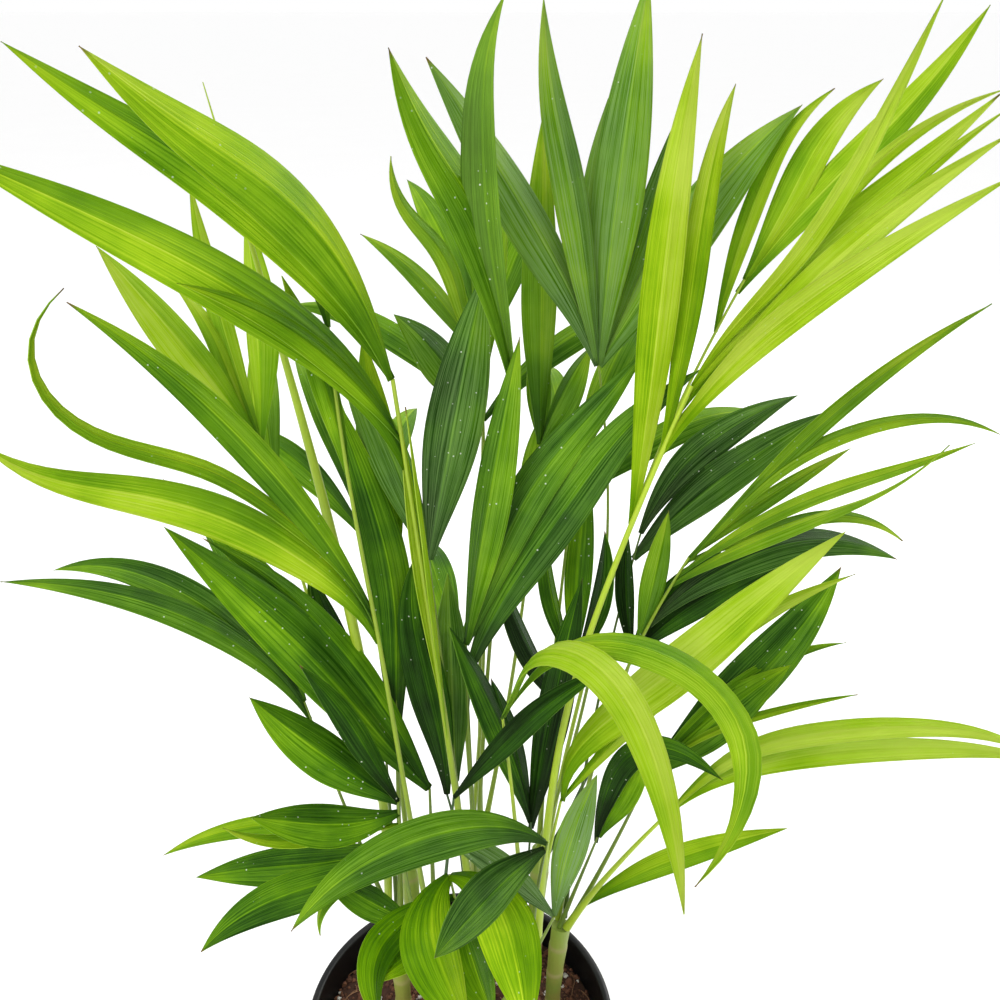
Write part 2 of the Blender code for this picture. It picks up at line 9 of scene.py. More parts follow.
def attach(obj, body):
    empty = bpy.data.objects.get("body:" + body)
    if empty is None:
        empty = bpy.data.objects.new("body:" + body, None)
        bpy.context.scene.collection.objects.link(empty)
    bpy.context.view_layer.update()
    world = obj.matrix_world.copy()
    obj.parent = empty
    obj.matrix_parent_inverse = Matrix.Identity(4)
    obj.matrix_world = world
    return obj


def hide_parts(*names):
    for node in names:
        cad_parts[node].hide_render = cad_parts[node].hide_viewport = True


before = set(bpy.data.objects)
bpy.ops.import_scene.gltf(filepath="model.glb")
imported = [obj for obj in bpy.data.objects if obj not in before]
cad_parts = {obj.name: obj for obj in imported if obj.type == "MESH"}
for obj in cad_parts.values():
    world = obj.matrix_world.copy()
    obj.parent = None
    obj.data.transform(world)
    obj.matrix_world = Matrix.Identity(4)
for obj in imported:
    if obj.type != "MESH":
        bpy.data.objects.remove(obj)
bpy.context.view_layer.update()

MM = 0.001

# ---- Studio --------------------------------------------------------------------------
# The palm stands on a plain white floor in a tent of soft white light, with one large soft lamp in front on
# the left and a smaller one behind on the right that lights some leaves through.
CAMERA_PLACE = (0.022, -0.376, 0.653)
CAMERA_TILT = math.radians(63.9)
CAMERA_LENS = 36


def placed(name, data):
    """A new object in the scene."""
    made = bpy.data.objects.new(name, data)
    bpy.context.scene.collection.objects.link(made)
    return made


camera_data = bpy.data.cameras.new("camera")
camera_data.lens = CAMERA_LENS
camera_data.sensor_width = CAMERA_LENS
camera = placed("camera", camera_data)
camera.location = CAMERA_PLACE
camera.rotation_euler = (CAMERA_TILT, 0, 0)
bpy.context.scene.camera = camera
bpy.context.scene.view_settings.view_transform = "Standard"


def soft_lamp(name, place, target, width, watts, tint):
    """A square area lamp at a place, turned towards a target."""
    lamp = bpy.data.lights.new(name, "AREA")
    lamp.size = width
    lamp.energy = watts
    lamp.color = tint
    lamp_object = placed(name, lamp)
    lamp_object.location = place
    lamp_object.rotation_euler = (Vector(target) - Vector(place)).to_track_quat("-Z", "Y").to_euler()


soft_lamp("front_lamp", place=(-1.1, -1.6, 1.9), target=(0, 0, 0.35), width=1.2, watts=34,
          tint=(1, 0.99, 0.97))
soft_lamp("back_lamp", place=(1.2, 1.3, 1.5), target=(0.05, 0, 0.45), width=0.9, watts=22, tint=(1, 1, 0.98))

tent = bpy.data.worlds.new("tent")
tent.use_nodes = True
tent_light = tent.node_tree.nodes["Background"].inputs
tent_light["Color"].default_value = (1.0, 1.0, 1.0, 1)
tent_light["Strength"].default_value = 1.0
bpy.context.scene.world = tent


class Wire:
    """A node tree's socket in a Python expression: each operation adds its Math or Vector Math node."""

    def __init__(self, socket):
        self.socket = socket

    def node(self, kind, settings=None, values=None, output=0):
        """A new node in this socket's tree: first its settings, then its sockets' values or links."""
        return add_node(self.socket.id_data, kind, settings, values, output)

    def beside(self, name):
        """Another output of the node this socket is on."""
        return Wire(self.socket.node.outputs[name])

    def maths(self, operation, *others):
        values = dict(enumerate((self, *others)))
        return self.node("ShaderNodeMath", {"operation": operation}, values)

    def vector(self, operation, *others):
        values = dict(enumerate((self, *others)))
        return self.node("ShaderNodeVectorMath", {"operation": operation}, values)

    def scaled(self, share):
        """This vector times a number."""
        return self.node("ShaderNodeVectorMath", {"operation": "SCALE"}, {0: self, "Scale": share})

    def is_vector(self):
        return self.socket.type == "VECTOR"

    def __add__(self, other):
        return self.vector("ADD", other) if self.is_vector() else self.maths("ADD", other)

    def __radd__(self, other):
        return self.maths("ADD", other)

    def __sub__(self, other):
        return self.vector("SUBTRACT", other) if self.is_vector() else self.maths("SUBTRACT", other)

    def __rsub__(self, other):
        return self.node("ShaderNodeMath", {"operation": "SUBTRACT"}, {0: other, 1: self})

    def __mul__(self, other):
        return self.scaled(other) if self.is_vector() else self.maths("MULTIPLY", other)

    def __rmul__(self, other):
        return self.maths("MULTIPLY", other)

    def __truediv__(self, other):
        return self.maths("DIVIDE", other)

    def __pow__(self, other):
        return self.maths("POWER", other)

    def __gt__(self, other):
        return self.maths("GREATER_THAN", other)

    def clamped(self):
        return self.node("ShaderNodeClamp", {}, {"Value": self})

    def ramped(self, start, end):
        """0 below start, 1 above end, and smooth between."""
        values = {"Value": self, "From Min": start, "From Max": end}
        return self.node("ShaderNodeMapRange", {"interpolation_type": "SMOOTHSTEP"}, values)

    def blended(self, first, second):
        """The first colour where this is 0, the second where it is 1."""
        return self.node("ShaderNodeMix", {"data_type": "RGBA"}, {0: self, 6: first, 7: second}, 2)


def add_node(tree, kind, settings=None, values=None, output=0):
    new = tree.nodes.new(kind)
    for name, setting in (settings or {}).items():
        if name == "stops":
            ramp = new.color_ramp
            while len(ramp.elements) < len(setting):
                ramp.elements.new(1)
            for element, (place, colour) in zip(ramp.elements, setting):
                element.position = place
                element.color = (*colour, 1)
        else:
            setattr(new, name, setting)
    for name, value in (values or {}).items():
        if isinstance(value, Wire):
            tree.links.new(value.socket, new.inputs[name])
        else:
            new.inputs[name].default_value = value
    return Wire(new.outputs[output])


def new_material(name):
    """An empty material and its Principled shader, which the caller's wires feed."""
    material = bpy.data.materials.new(name)
    material.use_nodes = True
    return material, material.node_tree.nodes["Principled BSDF"]


def feed(shader, **values):
    """Fills a shader's sockets: underscores in the names stand for spaces."""
    for name, value in values.items():
        socket = shader.inputs[name.replace("_", " ")]
        if isinstance(value, Wire):
            shader.id_data.links.new(value.socket, socket)
        else:
            socket.default_value = value


def attribute(material, name):
    """A number stored on the mesh."""
    return add_node(material.node_tree, "ShaderNodeAttribute", {"attribute_name": name}, {}, "Fac")


def place_on(material):
    """The object's own coordinates."""
    return add_node(material.node_tree, "ShaderNodeTexCoord", {}, {}, "Object")


def grain(place, scale, detail=2.0, roughness=0.5):
    """Noise from 0 to 1 at a place."""
    values = {"Vector": place, "Scale": scale, "Detail": detail, "Roughness": roughness}
    return place.node("ShaderNodeTexNoise", {}, values)


def bumped(height, distance):
    values = {"Height": height, "Distance": distance, "Strength": 1.0}
    return height.node("ShaderNodeBump", {}, values, "Normal")


def rounded_rings(builder, profile, sides):
    """Rings round +Z with faces between, one for each (radius, height), where radius 0 gives one vertex."""
    rings = []
    for radius, height in profile:
        if radius == 0:
            rings.append([builder.verts.new((0, 0, height))])
            continue
        turns = [math.tau * side / sides for side in range(sides)]
        places = [(radius * math.cos(turn), radius * math.sin(turn), height) for turn in turns]
        rings.append([builder.verts.new(place) for place in places])
    for ring, following in zip(rings, rings[1:]):
        for side in range(sides):
            beside = (side + 1) % sides
            corners = [ring[side % len(ring)], ring[beside % len(ring)],
                       following[beside % len(following)], following[side % len(following)]]
            builder.faces.new(list(dict.fromkeys(corners)))
    return rings


def mesh_of(name, builder):
    """A new mesh of the builder's shape, which frees the builder."""
    mesh = bpy.data.meshes.new(name)
    builder.to_mesh(mesh)
    builder.free()
    return mesh


def new_piece(name, mesh, node_name, slot, *materials):
    """A finished piece at the origin that stands for a CAD node and moves with the only body."""
    piece = placed(name, mesh)
    for material in materials:
        mesh.materials.append(material)
    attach(piece, "root")
    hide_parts(node_name)


FLOOR_REACH = 300
FLOOR_DROP = 0.2 * MM
floor_builder = bmesh.new()
bmesh.ops.create_grid(floor_builder, x_segments=1, y_segments=1, size=FLOOR_REACH)
floor_mesh = mesh_of("floor", floor_builder)
floor = placed("floor", floor_mesh)
floor.location.z = -FLOOR_DROP
floor_paint, floor_shader = new_material("floor_paint")
floor_wear = grain(place_on(floor_paint), 3.0)
floor_white = floor_wear.blended((0.97, 0.97, 0.97, 1), (0.99, 0.99, 0.99, 1))
feed(floor_shader, Base_Color=floor_white, Roughness=0.7)
floor_mesh.materials.append(floor_paint)

# ---- Pot -----------------------------------------------------------------------------
# A thin nursery pot, blow-moulded in black plastic: a taper with a stepped band at the rim, a rolled lip,
# fine rings from the mould on its side, and drain holes in its foot. Its main sizes are the CAD pot's own.
POT_HEIGHT = 150 * MM
RIM_RADIUS = 85 * MM
BASE_RADIUS = 60 * MM
POT_WALL = 1.6 * MM
POT_FLOOR = 2.4 * MM
RIM_BAND_HEIGHT = 16 * MM
RIM_BAND_STEP = 2.6 * MM
FOOT_BEVEL = 3 * MM
DRAIN_HOLES = 6
DRAIN_HOLE_RADIUS = 4 * MM
DRAIN_RING_SHARE = 0.72
FIRST_HOLE_TURN = 0.125
DRILL_SIDES = 20
POT_SIDES = 144
SHARP_ANGLE = math.radians(40)


def wall_radius(height):
    """The pot's outer radius, which widens evenly from the base to the rim's band."""
    band_foot = POT_HEIGHT - RIM_BAND_HEIGHT
    return BASE_RADIUS + (RIM_RADIUS - RIM_BAND_STEP - BASE_RADIUS) * height / band_foot


def inner_radius(height):
    return wall_radius(min(height, POT_HEIGHT - RIM_BAND_HEIGHT)) - POT_WALL


def pot_profile():
    """Radii and heights from the middle of the foot, up the outside, over the lip and down the inside."""
    band_foot = POT_HEIGHT - RIM_BAND_HEIGHT
    bend_steps = 4
    profile = [(0, 0), (BASE_RADIUS - FOOT_BEVEL, 0)]
    for step in range(1, bend_steps + 1):
        turn = math.pi / 2 * step / bend_steps
        profile.append((BASE_RADIUS - FOOT_BEVEL + FOOT_BEVEL * math.sin(turn),
                        FOOT_BEVEL * (1 - math.cos(turn))))
    side_rings = 22
    ring_depth = 0.12 * MM
    for step in range(1, side_rings):
        height = FOOT_BEVEL + (band_foot - FOOT_BEVEL) * step / side_rings
        profile.append((wall_radius(height) - ring_depth * (step % 2), height))
    shoulder = 1.2 * MM
    for step in range(bend_steps + 1):
        turn = math.pi / 2 * step / bend_steps
        profile.append((wall_radius(band_foot) + (RIM_RADIUS - wall_radius(band_foot)) * math.sin(turn),
                        band_foot + shoulder * (1 - math.cos(turn))))
    lip = (RIM_RADIUS - inner_radius(POT_HEIGHT)) / 2
    middle = RIM_RADIUS - lip
    lip_top = 1.1 * MM
    for step in range(2 * bend_steps + 1):
        turn = math.pi * step / (2 * bend_steps)
        profile.append((middle + lip * math.cos(turn), POT_HEIGHT - lip_top + lip_top * math.sin(turn)))
    profile += [(inner_radius(band_foot), band_foot), (inner_radius(POT_FLOOR), POT_FLOOR), (0, POT_FLOOR)]
    return profile


pot_builder = bmesh.new()
rounded_rings(pot_builder, pot_profile(), POT_SIDES)
bmesh.ops.recalc_face_normals(pot_builder, faces=pot_builder.faces)
pot_blank = placed("pot_blank", mesh_of("pot_blank", pot_builder))
drills = []
for number in range(DRAIN_HOLES):
    around = math.tau * (number + FIRST_HOLE_TURN) / DRAIN_HOLES
    drill_builder = bmesh.new()
    rounded_rings(drill_builder, [(0, -POT_FLOOR), (DRAIN_HOLE_RADIUS, -POT_FLOOR),
                                  (DRAIN_HOLE_RADIUS, 2 * POT_FLOOR), (0, 2 * POT_FLOOR)], DRILL_SIDES)
    centre = Vector((math.cos(around), math.sin(around), 0)) * BASE_RADIUS * DRAIN_RING_SHARE
    bmesh.ops.translate(drill_builder, verts=drill_builder.verts, vec=centre)
    bmesh.ops.recalc_face_normals(drill_builder, faces=drill_builder.faces)
    drill = placed(f"drill_{number + 1}", mesh_of(f"drill_{number + 1}", drill_builder))
    drills.append(drill)
    cut = pot_blank.modifiers.new(drill.name, "BOOLEAN")
    cut.operation = "DIFFERENCE"
    cut.object = drill
pot_mesh = bpy.data.meshes.new_from_object(pot_blank.evaluated_get(bpy.context.evaluated_depsgraph_get()))
for helper in (pot_blank, *drills):
    bpy.data.objects.remove(helper, do_unlink=True)
pot_mesh.shade_smooth()
pot_mesh.set_sharp_from_angle(angle=SHARP_ANGLE)

pot_plastic, pot_shader = new_material("pot_black_plastic")
on_pot = place_on(pot_plastic)
height_on_pot = on_pot.node("ShaderNodeSeparateXYZ", {}, {0: on_pot}, "Z")
scuffs = grain(on_pot, 60, 5, 0.65).ramped(0.55, 0.8)
dust = (grain(on_pot, 24, 4, 0.7) * height_on_pot.ramped(0.142, 0.15)).ramped(0.3, 0.7)
worn = (scuffs * 0.35 + dust * 0.5).clamped()
FRESH_BLACK = (0.003, 0.0035, 0.004, 1)
WORN_BLACK = (0.02, 0.019, 0.018, 1)
MOULD_MARKS = 0.08 * MM
feed(pot_shader, Base_Color=worn.blended(FRESH_BLACK, WORN_BLACK), Specular_IOR_Level=0.25, IOR=1.5,
     Roughness=0.3 + 0.25 * worn + 0.1 * grain(on_pot, 300),
     Normal=bumped(grain(on_pot, 900, 1) + 0.6 * grain(on_pot, 120, 3), MOULD_MARKS))
new_piece("nursery_pot", pot_mesh, "pot", "pot_black_plastic", pot_plastic)

# ---- Soil ----------------------------------------------------------------------------
# Peat and coir potting mix, brown and loose: a lumpy bed that meets the pot's wall, with crumbs, short coir
# fibres and white grains of perlite lying all over it.
SOIL_BELOW_RIM = 18 * MM
SOIL_CROWN = 3 * MM
SOIL_LEVEL = POT_HEIGHT - SOIL_BELOW_RIM
SOIL_GAP = 0.3 * MM
SOIL_TOP_DEPTH = 12 * MM
LUMP_SPACING = 14 * MM
LUMP_HEIGHT = 1.6 * MM
SETTLED = 0.8 * MM


def soil_height(x, y):
    """The lumpy top of the bed, lower towards the wall."""
    out = math.hypot(x, y) / inner_radius(SOIL_LEVEL)
    lumps = noise.fractal(Vector((x, y, 0)) / LUMP_SPACING, 1.0, 2.0, 4) * LUMP_HEIGHT
    return SOIL_LEVEL - SOIL_CROWN * out ** 2 + lumps - SETTLED


soil_edge = inner_radius(SOIL_LEVEL - SOIL_CROWN) - SOIL_GAP
soil_foot = POT_FLOOR + SOIL_GAP
SOIL_RINGS = 44
SOIL_SIDES = 132
soil_profile = [(0, SOIL_LEVEL)]
soil_profile += [(soil_edge * (ring + 1) / SOIL_RINGS, SOIL_LEVEL) for ring in range(SOIL_RINGS)]
soil_profile += [(inner_radius(soil_foot) - SOIL_GAP, soil_foot), (0, soil_foot)]
bed_builder = bmesh.new()
bed_rings = rounded_rings(bed_builder, soil_profile, SOIL_SIDES)
for ring in bed_rings[:SOIL_RINGS + 1]:
    for vertex in ring:
        vertex.co.z = soil_height(vertex.co.x, vertex.co.y)
bmesh.ops.recalc_face_normals(bed_builder, faces=bed_builder.faces)
bed_mesh = bpy.data.meshes.new("soil_bed")
bed_builder.to_mesh(bed_mesh)
bed_mesh.shade_smooth()

below_top = SOIL_LEVEL - SOIL_TOP_DEPTH
lower_faces = [face for face in bed_builder.faces if min(vertex.co.z for vertex in face.verts) < below_top]
bmesh.ops.delete(bed_builder, geom=lower_faces, context="FACES")
scatter_mesh = mesh_of("scatter_ground", bed_builder)


def new_node_tree(name, inputs):
    """A Geometry Nodes tree with named inputs (kind, default), and its input wires by name."""
    tree = bpy.data.node_groups.new(name, "GeometryNodeTree")
    tree.interface.new_socket("Geometry", in_out="INPUT", socket_type="NodeSocketGeometry")
    tree.interface.new_socket("Geometry", in_out="OUTPUT", socket_type="NodeSocketGeometry")
    for input_name, (kind, default) in inputs.items():
        socket = tree.interface.new_socket(input_name, in_out="INPUT", socket_type=f"NodeSocket{kind}")
        if default is not None:
            socket.default_value = default
    entry = tree.nodes.new("NodeGroupInput")
    return tree, {socket.name: Wire(socket) for socket in entry.outputs if socket.name}


def finish_tree(tree, geometry, material_inputs):
    """Ends the tree in Realize Instances and one Set Material for each material input and its selection."""
    geometry = geometry.node("GeometryNodeRealizeInstances", {}, {"Geometry": geometry})
    for material, selection in material_inputs:
        values = {"Geometry": geometry, "Material": material}
        if selection is not None:
            values["Selection"] = selection
        geometry = geometry.node("GeometryNodeSetMaterial", {}, values)
    exit_node = tree.nodes.new("NodeGroupOutput")
    tree.links.new(geometry.socket, exit_node.inputs["Geometry"])


def grown_mesh(name, base_mesh, tree, values):
    """A plain mesh from a base mesh and a Geometry Nodes tree with its inputs set."""
    base = placed(f"{name}_base", base_mesh)
    modifier = base.modifiers.new(name, "NODES")
    modifier.node_group = tree
    for item in tree.interface.items_tree:
        if item.in_out == "INPUT" and item.name in values:
            modifier[item.identifier] = values[item.name]
    mesh = bpy.data.meshes.new_from_object(base.evaluated_get(bpy.context.evaluated_depsgraph_get()))
    mesh.name = name
    base.modifiers.clear()
    bpy.data.objects.remove(base, do_unlink=True)
    return mesh


def random_between(wire, low, high, seed, kind="FLOAT"):
    """A random value for each element."""
    node = wire.socket.id_data.nodes.new("FunctionNodeRandomValue")
    node.data_type = kind
    for name, value in (("Min", low), ("Max", high), ("Seed", seed)):
        socket = next(item for item in node.inputs if item.name == name and item.enabled)
        if isinstance(value, Wire):
            wire.socket.id_data.links.new(value.socket, socket)
        else:
            socket.default_value = value
    return Wire(next(item for item in node.outputs if item.enabled))


def stored(geometry, name, value, domain="POINT", kind="FLOAT"):
    """The geometry with a value stored on it by name."""
    return geometry.node("GeometryNodeStoreNamedAttribute", {"data_type": kind, "domain": domain},
                         {"Geometry": geometry, "Name": name, "Value": value})


def scatter_tree(name, make_grain):
    """A tree that scatters one kind of grain over the ground, each turned and sized at random."""
    smallest = 0.5
    largest = 1.8
    tree, given = new_node_tree(name, {
        "Grains per m2": ("Float", 1000.0), "Grain Size": ("Float", 1.0 * MM), "Seed": ("Int", 1),
        "Material": ("Material", None)})
    ground = given["Geometry"]
    points = ground.node("GeometryNodeDistributePointsOnFaces", {}, {
        "Mesh": ground, "Density": given["Grains per m2"], "Seed": given["Seed"]}, "Points")
    size = given["Grain Size"] * random_between(ground, smallest, largest, given["Seed"] + 3)
    whole_turns = (math.tau, math.tau, math.tau)
    turn = random_between(ground, (0, 0, 0), whole_turns, given["Seed"] + 5, "FLOAT_VECTOR")
    grains = points.node("GeometryNodeInstanceOnPoints", {}, {
        "Points": points, "Instance": make_grain(ground), "Rotation": turn, "Scale": size})
    shade = random_between(ground, 0.0, 1.0, given["Seed"] + 9)
    finish_tree(tree, stored(grains, "shade", shade, "INSTANCE"), [(given["Material"], None)])
    return tree


def lump(ground):
    """One rough lump of unit size, with a few dozen faces."""
    ball = ground.node("GeometryNodeMeshIcoSphere", {}, {"Radius": 0.5, "Subdivisions": 2})
    place = ground.node("GeometryNodeInputPosition")
    dents = ground.node("ShaderNodeTexNoise", {}, {"Vector": place, "Scale": 2.2, "Detail": 1.0}, "Color")
    shift = dents.vector("SUBTRACT", (0.5, 0.5, 0.5)).scaled(1.1)
    return ball.node("GeometryNodeSetPosition", {}, {"Geometry": ball, "Offset": shift})


def fibre(ground):
    """One bent fibre of unit length."""
    line = ground.node("GeometryNodeCurveQuadraticBezier", {}, {
        "Resolution": 6, "Start": (-0.5, 0, 0), "Middle": (0, 0.32, 0.1), "End": (0.5, 0, 0.05)})
    ring = ground.node("GeometryNodeCurvePrimitiveCircle", {"mode": "RADIUS"},
                       {"Resolution": 4, "Radius": 0.022})
    values = {"Curve": line, "Profile Curve": ring, "Fill Caps": True}
    return line.node("GeometryNodeCurveToMesh", {}, values)


def soil_material(name, dark, light, roughness):
    """Crumbly brown matter, each grain of its own shade."""
    material, shader = new_material(name)
    on_soil = place_on(material)
    mottle = grain(on_soil, 420, 4, 0.7)
    shade = (0.55 * mottle + 0.5 * attribute(material, "shade")).clamped()
    feed(shader, Base_Color=shade.blended((*dark, 1), (*light, 1)), Roughness=roughness,
         Normal=bumped(grain(on_soil, 1500, 3, 0.7), 0.4 * MM))
    return material


peat = soil_material("soil_peat", (0.022, 0.008, 0.004), (0.12, 0.042, 0.02), 0.95)
crumb_peat = soil_material("soil_crumb_peat", (0.035, 0.012, 0.006), (0.21, 0.082, 0.04), 0.92)
coir = soil_material("soil_coir", (0.10, 0.045, 0.02), (0.36, 0.19, 0.09), 0.85)
perlite = soil_material("soil_perlite", (0.55, 0.5, 0.44), (0.86, 0.84, 0.8), 0.8)
new_piece("soil_bed", bed_mesh, "soil", "potting_soil", peat)
lump_tree = scatter_tree("scattered lumps", lump)
fibre_tree = scatter_tree("scattered fibres", fibre)
for scatter_name, tree, scatter_material, density, grain_size, seed in (
        ("soil_crumbs", lump_tree, crumb_peat, 95000.0, 1.8 * MM, 4),
        ("soil_lumps", lump_tree, crumb_peat, 14000.0, 3.4 * MM, 11),
        ("soil_perlite", lump_tree, perlite, 9000.0, 2.0 * MM, 23),
        ("soil_fibres", fibre_tree, coir, 26000.0, 9.0 * MM, 31)):
    scattered = grown_mesh(scatter_name, scatter_mesh.copy(), tree, {
        "Grains per m2": density, "Grain Size": grain_size, "Seed": seed, "Material": scatter_material})
    scattered.shade_smooth()
    new_piece(scatter_name, scattered, "soil", "potting_soil")

# ---- Canes ---------------------------------------------------------------------------
# Slim green canes stand in the soil, each wrapped in the smooth sheaths of its leaves. A sheath ends in a
# thin raised ring, and the top one narrows round the stalks that come out of it. Feet and tops are the CAD
# canes', in millimetres.
CANES = {
    "cane_left": {"foot": (-32, 4), "top": (-34, 5, 98)},
    "cane_front_left": {"foot": (-13, -17), "top": (-13, -20, 104)},
    "cane_front": {"foot": (9, -30), "top": (11, -34, 64)},
    "cane_centre": {"foot": (9, 3), "top": (8, 2, 118)},
    "cane_front_right": {"foot": (35, -12), "top": (37, -15, 104)},
    "cane_right": {"foot": (52, 13), "top": (57, 17, 78)},
    "cane_back_right": {"foot": (42, 40), "top": (46, 43, 106)},
    "cane_back": {"foot": (9, 48), "top": (10, 51, 116)},
    "cane_back_left": {"foot": (-28, 40), "top": (-31, 45, 100)},
}
CANE_ROOT_DEPTH = 14 * MM
CANE_RADIUS = 3.9 * MM
CANE_TOP_RADIUS = 5.8 * MM
CANE_STEPS = 60
CANE_REACH = 1.05
CLOSING_FROM = 0.93
CLOSING_SHARE = 0.62
RING_SWELL = 0.5 * MM
RING_ABOVE = 1.2
RING_BELOW = 14


def soil_place(x, y, height):
    return Vector((x, y, height)) * MM + Vector((0, 0, SOIL_LEVEL))


def line_mesh(name, lines):
    """A mesh of separate lines, each a list of stations that hold their place and named values."""
    builder = bmesh.new()
    layers = {}
    kinds = builder.verts.layers
    for key, value in lines[0][0].items():
        if key != "place":
            layers[key] = (kinds.float_vector if isinstance(value, Vector) else kinds.float).new(key)
    for line in lines:
        before = None
        for station in line:
            vertex = builder.verts.new(station["place"])
            for key, layer in layers.items():
                vertex[layer] = station[key]
            if before is not None:
                builder.edges.new((before, vertex))
            before = vertex
    return mesh_of(name, builder)


def named_value(ground, name, kind="FLOAT"):
    return ground.node("GeometryNodeInputNamedAttribute", {"data_type": kind}, {"Name": name}, "Attribute")


tube_tree, tube_given = new_node_tree("round tube along a line", {
    "Sides": ("Int", 20), "Material": ("Material", None)})
tube_line = tube_given["Geometry"].node("GeometryNodeMeshToCurve", {}, {"Mesh": tube_given["Geometry"]})
tube_ring = tube_line.node("GeometryNodeCurvePrimitiveCircle", {"mode": "RADIUS"},
                           {"Resolution": tube_given["Sides"], "Radius": 1.0})
tube = tube_line.node("GeometryNodeCurveToMesh", {}, {
    "Curve": tube_line, "Profile Curve": tube_ring, "Scale": named_value(tube_line, "radius"),
    "Fill Caps": True})
finish_tree(tube_tree, tube, [(tube_given["Material"], None)])

cane_skin, cane_shader = new_material("cane_green")
on_cane = place_on(cane_skin)
cane_height = attribute(cane_skin, "height")
streaks = grain(on_cane.vector("MULTIPLY", (1500, 1500, 60)), 1.0, 3, 0.6)
blotches = grain(on_cane, 55, 3, 0.6)
ring_mark = attribute(cane_skin, "ring")
fresh = (0.25 + 0.75 * cane_height.ramped(0.0, 0.09) + 0.4 * (streaks - 0.5)).clamped()
FOOT_BROWN = (0.23, 0.17, 0.045, 1)
SHEATH_GREEN = (0.25, 0.36, 0.045, 1)
BLOTCH_GREEN = (0.14, 0.26, 0.03, 1)
RING_TAN = (0.34, 0.28, 0.12, 1)
cane_colour = fresh.blended(FOOT_BROWN, SHEATH_GREEN)
cane_colour = (blotches.ramped(0.5, 0.75) * 0.5).blended(cane_colour, BLOTCH_GREEN)
cane_colour = (ring_mark * 0.7).blended(cane_colour, RING_TAN)
feed(cane_shader, Base_Color=cane_colour, Roughness=0.38 + 0.2 * blotches + 0.15 * ring_mark,
     Normal=bumped(streaks, 0.2 * MM))

for cane_name, cane in CANES.items():
    foot = soil_place(*cane["foot"], 0)
    top = soil_place(*cane["top"])
    lean = top - foot
    seed = len(cane_name) + cane["foot"][0]
    sheaths = [0.2 + 0.05 * math.sin(seed), 0.45 + 0.06 * math.cos(seed * 2),
               0.72 + 0.05 * math.sin(seed * 3)]
    stations = []
    for step in range(CANE_STEPS + 1):
        share = step / CANE_STEPS * CANE_REACH - CANE_ROOT_DEPTH / lean.z
        level = max(share, 0)
        radius = CANE_RADIUS + (CANE_TOP_RADIUS - CANE_RADIUS) * min(level, 1) ** 2
        ring_here = 0.0
        for sheath in sheaths:
            above = (level - sheath) * lean.z / MM
            fade = math.exp(-max(above, 0) / RING_ABOVE) * math.exp(-max(-above, 0) / RING_BELOW)
            radius += RING_SWELL * fade
            ring_here = max(ring_here, math.exp(-(above / RING_ABOVE) ** 2))
        closing = min(max((share - CLOSING_FROM) / (CANE_REACH - CLOSING_FROM), 0), 1)
        radius *= 1 - CLOSING_SHARE * closing ** 1.6
        place = Vector((foot.x + lean.x * level ** 2, foot.y + lean.y * level ** 2, foot.z + lean.z * share))
        stations.append({"place": place, "radius": radius, "height": level * lean.z, "ring": ring_here})
    cane_mesh = grown_mesh(cane_name, line_mesh(cane_name, [stations]), tube_tree, {"Material": cane_skin})
    cane_mesh.shade_smooth()
    new_piece(f"sheathed_{cane_name}", cane_mesh, cane_name, "cane_green")

# ---- Leaves --------------------------------------------------------------------------
# Each leaf is a firm yellow-green stalk with long leaflets joined to it: thin, folded along a raised rib,
# finely pleated, and pointed. Angles are in degrees from foot to tip and lengths in millimetres, as the CAD
# leaves' are. Tone runs from deep green to lime: partly each leaflet's own colour and partly painted shade,
# as the leaflets deep inside the plant are given the darkest tones. Painted sheen is how much pale grey
# sheen is painted on the leaf's blades.
Leaf = namedtuple("Leaf", "cane, side, heading, rise, length, radius, bloom, leaflets")
